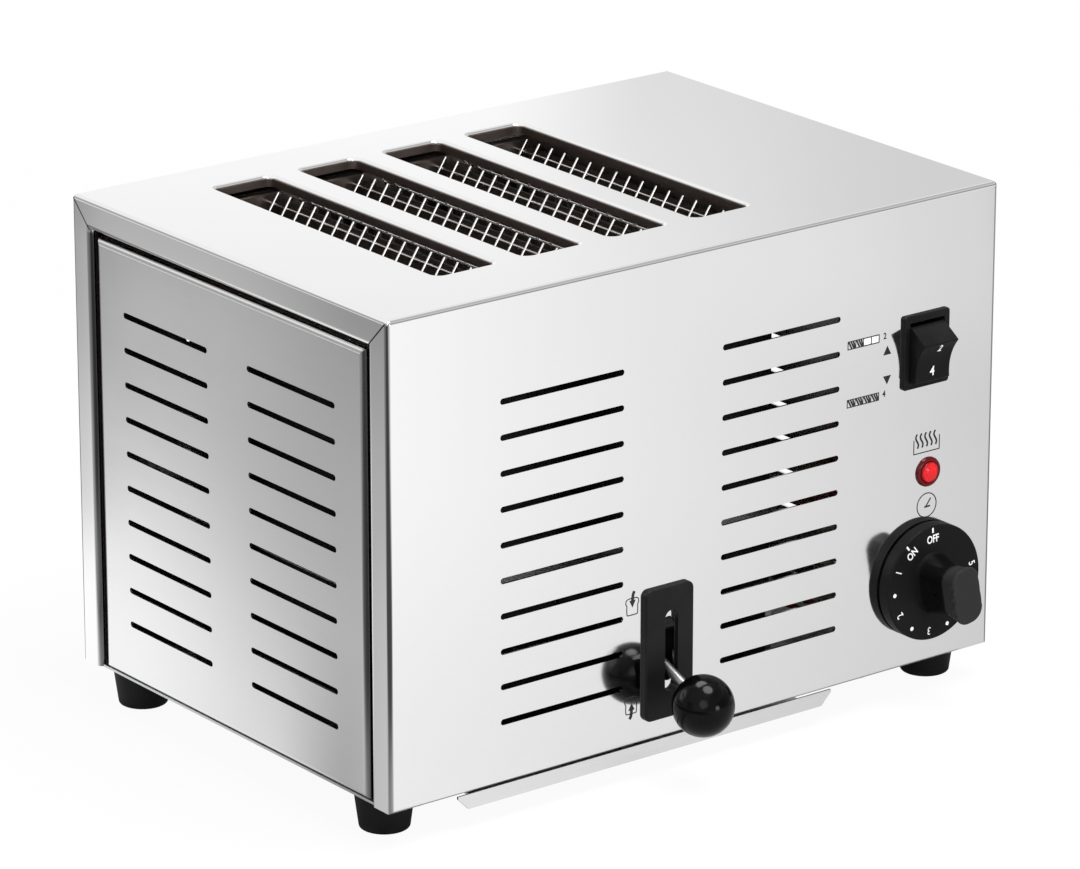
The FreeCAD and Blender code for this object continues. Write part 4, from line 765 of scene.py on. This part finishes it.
def dial_marks():
    """Two words with ticks, five figures, and dots between them."""
    bm = bmesh.new()
    for word, angle in WORD_ANGLES.items():
        tick = [dial_point(angle, TICK_OUTER), dial_point(angle, TICK_INNER)]
        stroke(bm, tick, TICK_WIDTH, lay=on_dial)
        x, z = dial_point(angle, WORD_RADIUS)
        letters(bm, word, x, z, WORD_HEIGHT, lay=on_dial, turn=math.radians(angle), narrow=0.78)
    for figure, angle in FIGURE_ANGLES.items():
        x, z = dial_point(angle, FIGURE_RADIUS)
        turn = math.radians(angle)
        letters(bm, figure, x, z, FIGURE_HEIGHT, lay=on_dial, turn=turn, narrow=0.9, bold=0.0)
    for angle in DOT_ANGLES:
        x, z = dial_point(angle, DOTS_RADIUS)
        prism(bm, ring_points(x, z, DOT_SIZE, 20), lay=on_dial)
    piece("dial_marks", bm, WHITE_INK, "timer_dial")


# Figures on the rocker, in millimetres: its pivot lies behind the front, and its face is hollow

ROCKER_X, ROCKER_Z = (part / MM for part in middle("rocker_housing"))
ROCKER_PIVOT = 4.0
ROCKER_TILT = math.radians(17)
RIDGE_REACH = 12.5
RIDGE_HALF = 8.9
ROCKER_DIP = 2.0


def on_rocker(x, z, out):
    """A place on the button's hollow face: z in millimetres along the face from its middle."""
    radius = (RIDGE_HALF * RIDGE_HALF / ROCKER_DIP + ROCKER_DIP) / 2
    depth = RIDGE_REACH - ROCKER_DIP + radius - math.sqrt(radius * radius - z * z)
    spot = Vector((0, -depth * MM - out, z * MM))
    spot.rotate(Matrix.Rotation(ROCKER_TILT, 3, "X"))
    return spot + Vector((x * MM, FRONT + ROCKER_PIVOT * MM, ROCKER_Z * MM))


def rocker_marks():
    """A figure on each half of the button."""
    bm = bmesh.new()
    letters(bm, "2", ROCKER_X + 0.9, 5.9, height=3.6, lay=on_rocker, narrow=0.75)
    letters(bm, "4", ROCKER_X - 0.3, -4.8, height=3.9, lay=on_rocker)
    piece("rocker_marks", bm, WHITE_INK, "rocker")


# Joints of the folded steel at the housing's corners

def mitre_seams():
    """The thin seams between the flanges, from each upper corner to the panel's opening."""
    bm = bmesh.new()
    fold = 12.3 * MM
    start = 1.3 * MM
    wide = 0.34 * MM
    narrow = 0.26 * MM
    proud = 0.03 * MM
    for x, out in ((LEFT, -1), (RIGHT, 1)):
        for y, inward in ((FRONT, 1), (BACK, -1)):
            a = Vector((0, y + inward * start, TOP - start))
            b = Vector((0, y + inward * fold, TOP - fold))
            along = (b - a).normalized()
            side = Vector((0, -along.z, along.y))
            corners = [a + side * wide, a - side * wide, b - side * narrow, b + side * narrow]
            outer = [bm.verts.new((x + out * proud, c.y, c.z)) for c in corners]
            inner = [bm.verts.new((x - out * proud, c.y, c.z)) for c in corners]
            bm.faces.new(outer)
            bm.faces.new(inner[::-1])
            for i in range(4):
                after = (i + 1) % 4
                bm.faces.new((outer[i], inner[i], inner[after], outer[after]))
    piece("mitre_seams", bm, SEAM, "housing")


# Lamp

def lathed(name, slot, node, profile):
    """A turned piece in place of a node; its profile is (radius, depth behind the panel) in millimetres."""
    bm = bmesh.new()
    lathe(bm, [(radius * MM, FRONT + depth * MM) for radius, depth in profile], (LAMP_X, LAMP_Z))
    made = piece(name, bm, FINISH[slot], "housing", smooth=True)
    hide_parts(node)


def lamp():
    """A low ring with rounded edges and a tube behind the panel, and a jewel with a stepped dome."""
    ring = [(4.05, 24.0), (5.0, 24.0), (5.0, 0.0), (6.25, 0.0), (6.28, -0.3), (6.1, -0.75), (5.7, -1.05),
            (5.2, -1.18), (4.75, -1.15), (4.5, -0.95), (4.42, -0.6), (4.05, -0.6), (4.05, 24.0)]
    jewel = [(0.0, 10.0), (3.9, 10.0), (4.0, 9.6), (4.0, -0.7), (4.3, -0.85), (4.32, -1.25), (4.15, -1.55),
             (3.75, -1.75), (3.3, -1.82), (3.05, -1.78), (2.85, -1.8), (2.5, -2.0), (1.8, -2.25),
             (0.9, -2.42), (0.0, -2.46)]
    lathed("lamp_ring", "lamp_collar_red", "lamp_collar", ring)
    lathed("lamp_jewel", "lamp_red", "lamp_lens", jewel)


# Floor, surroundings and lamps

HEADING = (math.cos(CAMERA_AZIMUTH), math.sin(CAMERA_AZIMUTH))
FLOOR_RINGS = (0.3, 0.8, 2.0, 5.0, 14.0)
FLOOR_SIDES = 64
LAMP_AIM = Vector((0, 0, 0.1))


def seen_directly(g):
    """Two shares: 1 for rays that show the background (camera, gloss and glass), and 1 for gloss alone."""
    path = g.add("ShaderNodeLightPath").outputs
    shown = g.math("MAXIMUM", path["Is Camera Ray"], path["Is Glossy Ray"], path["Is Transmission Ray"])
    return shown, path["Is Glossy Ray"]


def floor_disc():
    """A round floor in rings that widen outward."""
    bm = bmesh.new()
    centre = bm.verts.new((0, 0, 0))
    before = None
    for radius in FLOOR_RINGS:
        ring = [bm.verts.new((x, y, 0)) for x, y in ring_points(0, 0, radius, FLOOR_SIDES)]
        for i in range(FLOOR_SIDES):
            after = (i + 1) % FLOOR_SIDES
            if before is None:
                bm.faces.new((centre, ring[i], ring[after]))
            else:
                bm.faces.new((before[i], ring[i], ring[after], before[after]))
        before = ring
    data = bpy.data.meshes.new("floor")
    bm.to_mesh(data)
    bm.free()
    return data


# The steel mirrors the floor. Across and away are two level directions on it, in metres: the front shows
# what lies below 0 of away, with across to its right, and the side what lies above, with across to its rear.

ACROSS = (0.79, 0.61)
AWAY = (-0.61, 0.79)
FRONT_SLANT = 0.063
SIDE_SLANT = 0.08


def front_field(g, across, away):
    """How bright the floor in front is: darker to the right, and darkest past the front's right edge."""
    to_right = g.spread(across, -0.20, 0.08, 1.03, 0.66, smooth=False)
    nearer = g.spread(away, -0.45, -0.02, 1.0, 0.90)
    far_left = g.times(g.fall(across, -0.34, -0.24), g.rise(away, -0.35, -0.1), 0.4)
    lift = g.times(g.spread(away, -0.75, -0.5, 0.13, 0.0), g.rise(across, -0.1, 0.05))
    past_right = g.plus(across, g.times(away, FRONT_SLANT))
    right_dip = g.times(g.spread(past_right, 0.06, 0.085, 0.0, 0.55), g.spread(across, 0.3, 0.42, 1.0, 0.2))
    return g.times(to_right, nearer, g.rest_of(far_left), g.plus(1.0, lift), g.rest_of(right_dip))


def side_field(g, across, away):
    """How bright the floor at the side is: grey above, with a bright slanting patch below."""
    slant = g.minus(away, g.times(g.plus(across, 0.108), 2.7))
    bright = g.times(g.spread(slant, 0.1, 0.5, 0.64, 0.0), g.rise(across, -0.16, -0.125),
                     g.spread(across, -0.13, -0.06, 0.68, 0.84))
    to_rear = g.spread(across, -0.14, -0.06, 0.43, 0.57)
    shaded = g.times(g.spread(away, 0.42, 0.62, 0.0, 0.2), g.fall(across, -0.15, -0.11))
    lit = g.times(g.spread(away, 0.25, 0.45, 0.34, 0.0), g.fall(across, -0.178, -0.155))
    steep = g.minus(away, g.times(across, 1.295))
    plain = g.times(to_rear, g.plus(g.rest_of(shaded), lit), g.spread(steep, 0.82, 0.86, 1.0, 0.84))
    past_rear = g.minus(across, g.times(away, SIDE_SLANT))
    rear_edge = g.spread(past_rear, -0.058, -0.035, 1.0, 0.2)
    rear_dip = g.times(g.rise(past_rear, -0.075, -0.067), g.spread(away, 0.3, 0.46, 0.0, 0.3))
    behind = g.spread(across, 0.25, 0.4, 0.0, 0.85)
    return g.math("MAXIMUM", g.times(g.plus(plain, bright), rear_edge, g.rest_of(rear_dip)), behind)


def painted_shadow_below(g, parts):
    """How much darker the floor is under the object: a painted shadow, in what the steel mirrors."""
    edge = 4 * MM
    from_front = g.spread(parts["Y"], FRONT - 2 * MM, FRONT, 0.0, 0.7)
    return g.times(from_front, g.fall(parts["Y"], BACK, BACK + edge),
                   g.rise(parts["X"], LEFT, LEFT + edge), g.fall(parts["X"], RIGHT - edge, RIGHT))


def mirrored_floor(g, parts, distance):
    """The brightness of the floor in the steel; far out it is even."""
    across = g.plus(g.times(parts["X"], ACROSS[0]), g.times(parts["Y"], ACROSS[1]))
    away = g.plus(g.times(parts["X"], AWAY[0]), g.times(parts["Y"], AWAY[1]))
    at_side = g.rise(away, -0.02, 0.05)
    near = g.between(at_side, front_field(g, across, away), side_field(g, across, away))
    # Painted shadow of the object on the floor that the steel mirrors
    near = g.times(near, g.rest_of(painted_shadow_below(g, parts)))
    field = g.between(g.rise(distance, 0.9, 2.2), near, 0.9)
    dark_patch = g.times(g.spread(across, -0.34, -0.215, 0.8, 0.0), g.rise(across, -1.6, -1.2),
                         g.rise(away, -0.4, -0.15), g.fall(away, 0.2, 0.45))
    return g.times(field, g.rest_of(dark_patch))


def floor():
    """A pale floor that keeps a soft shadow and turns into the backdrop further out."""
    data = floor_disc()
    made = bpy.data.objects.new("floor", data)
    bpy.context.scene.collection.objects.link(made)

    look, g = material("floor_pale")
    place = g.place()
    distance = g.add("ShaderNodeVectorMath", {0: place}, operation="LENGTH").outputs["Value"]
    shown, glossy = seen_directly(g)
    level = g.between(glossy, 1.0, mirrored_floor(g, g.split(place), distance))
    light = g.add("ShaderNodeEmission", {"Color": grey(1.0), "Strength": level})
    colour = g.blend(g.mottle(g.noise(place, 40.0, 4.0)), grey(0.86), grey(0.88))
    diffuse = g.add("ShaderNodeBsdfDiffuse", {"Color": colour})
    share = g.times(shown, g.spread(distance, 0.35, 1.3, 0.94, 1.0))
    mixed = g.add("ShaderNodeMixShader", {0: share, 1: diffuse.outputs[0], 2: light.outputs[0]})
    out = g.add("ShaderNodeOutputMaterial")
    g.tree.links.new(mixed.outputs[0], out.inputs["Surface"])
    data.materials.append(look)


def surroundings():
    """White all round; the steel mirrors it softer, greyer at the sides and paler overhead."""
    world = bpy.data.worlds.new("studio")
    bpy.context.scene.world = world
    world.use_nodes = True
    g = Graph(world.node_tree)
    parts = g.split(g.add("ShaderNodeTexCoord").outputs["Generated"])
    up = parts["Z"]
    across = g.plus(g.times(parts["X"], HEADING[0]), g.times(parts["Y"], HEADING[1]))
    shown, glossy = seen_directly(g)
    low = g.times(g.spread(across, -0.01, 0.02, 1.06, 0.78), g.spread(across, 0.02, 0.07, 1.0, 0.87))
    high = g.spread(across, 0.012, 0.062, 0.92, 0.70)
    band = g.between(g.spread(up, 0.27, 0.305, 0.0, 1.0, smooth=False), low, high)
    aside = g.plus(g.spread(across, 0.55, 0.8, 0.0, 0.5), g.spread(across, -0.8, -0.5, 0.6, 0.0))
    dim = g.times(aside, g.fall(up, 0.35, 0.5))
    roof = g.spread(across, 0.2, 0.5, 1.0, 0.5)
    band = g.between(g.rise(up, 0.5, 0.7), g.times(band, g.rest_of(dim)), roof)
    level = g.between(glossy, 1.0, band)
    white = g.add("ShaderNodeBackground", {"Color": grey(1.0), "Strength": level})
    soft_level = g.spread(across, -0.7, 0.5, 0.15, 0.65)
    soft = g.add("ShaderNodeBackground", {"Color": grey(1.0), "Strength": soft_level})
    mixed = g.add("ShaderNodeMixShader", {0: shown, 1: soft.outputs[0], 2: white.outputs[0]})
    out = g.add("ShaderNodeOutputWorld")
    g.tree.links.new(mixed.outputs[0], out.inputs["Surface"])


def soft_lamp(name, place, size, power):
    """A round lamp that faces the object."""
    data = bpy.data.lights.new(name, "AREA")
    data.shape = "DISK"
    data.size = size
    data.energy = power
    made = bpy.data.objects.new(name, data)
    made.location = place
    aim = Vector(place) - LAMP_AIM
    made.rotation_euler = aim.to_track_quat("Z", "Y").to_euler()
    bpy.context.scene.collection.objects.link(made)


def lamps():
    """One above, and two in front on either side."""
    soft_lamp("overhead", (0.2, -0.6, 2.0), size=1.1, power=38)
    soft_lamp("front_left", (-1.5, -2.0, 1.2), size=1.4, power=12)
    soft_lamp("front_right", (0.55, -2.4, 0.25), size=0.6, power=8)


camera()
finish_nodes()
switch_marks()
switch_blanks()
lamp_mark()
timer_mark()
lift_marks()
dial_marks()
rocker_marks()
mitre_seams()
lamp()
floor()
surroundings()
lamps()

bpy.context.scene.view_settings.view_transform = "Standard"
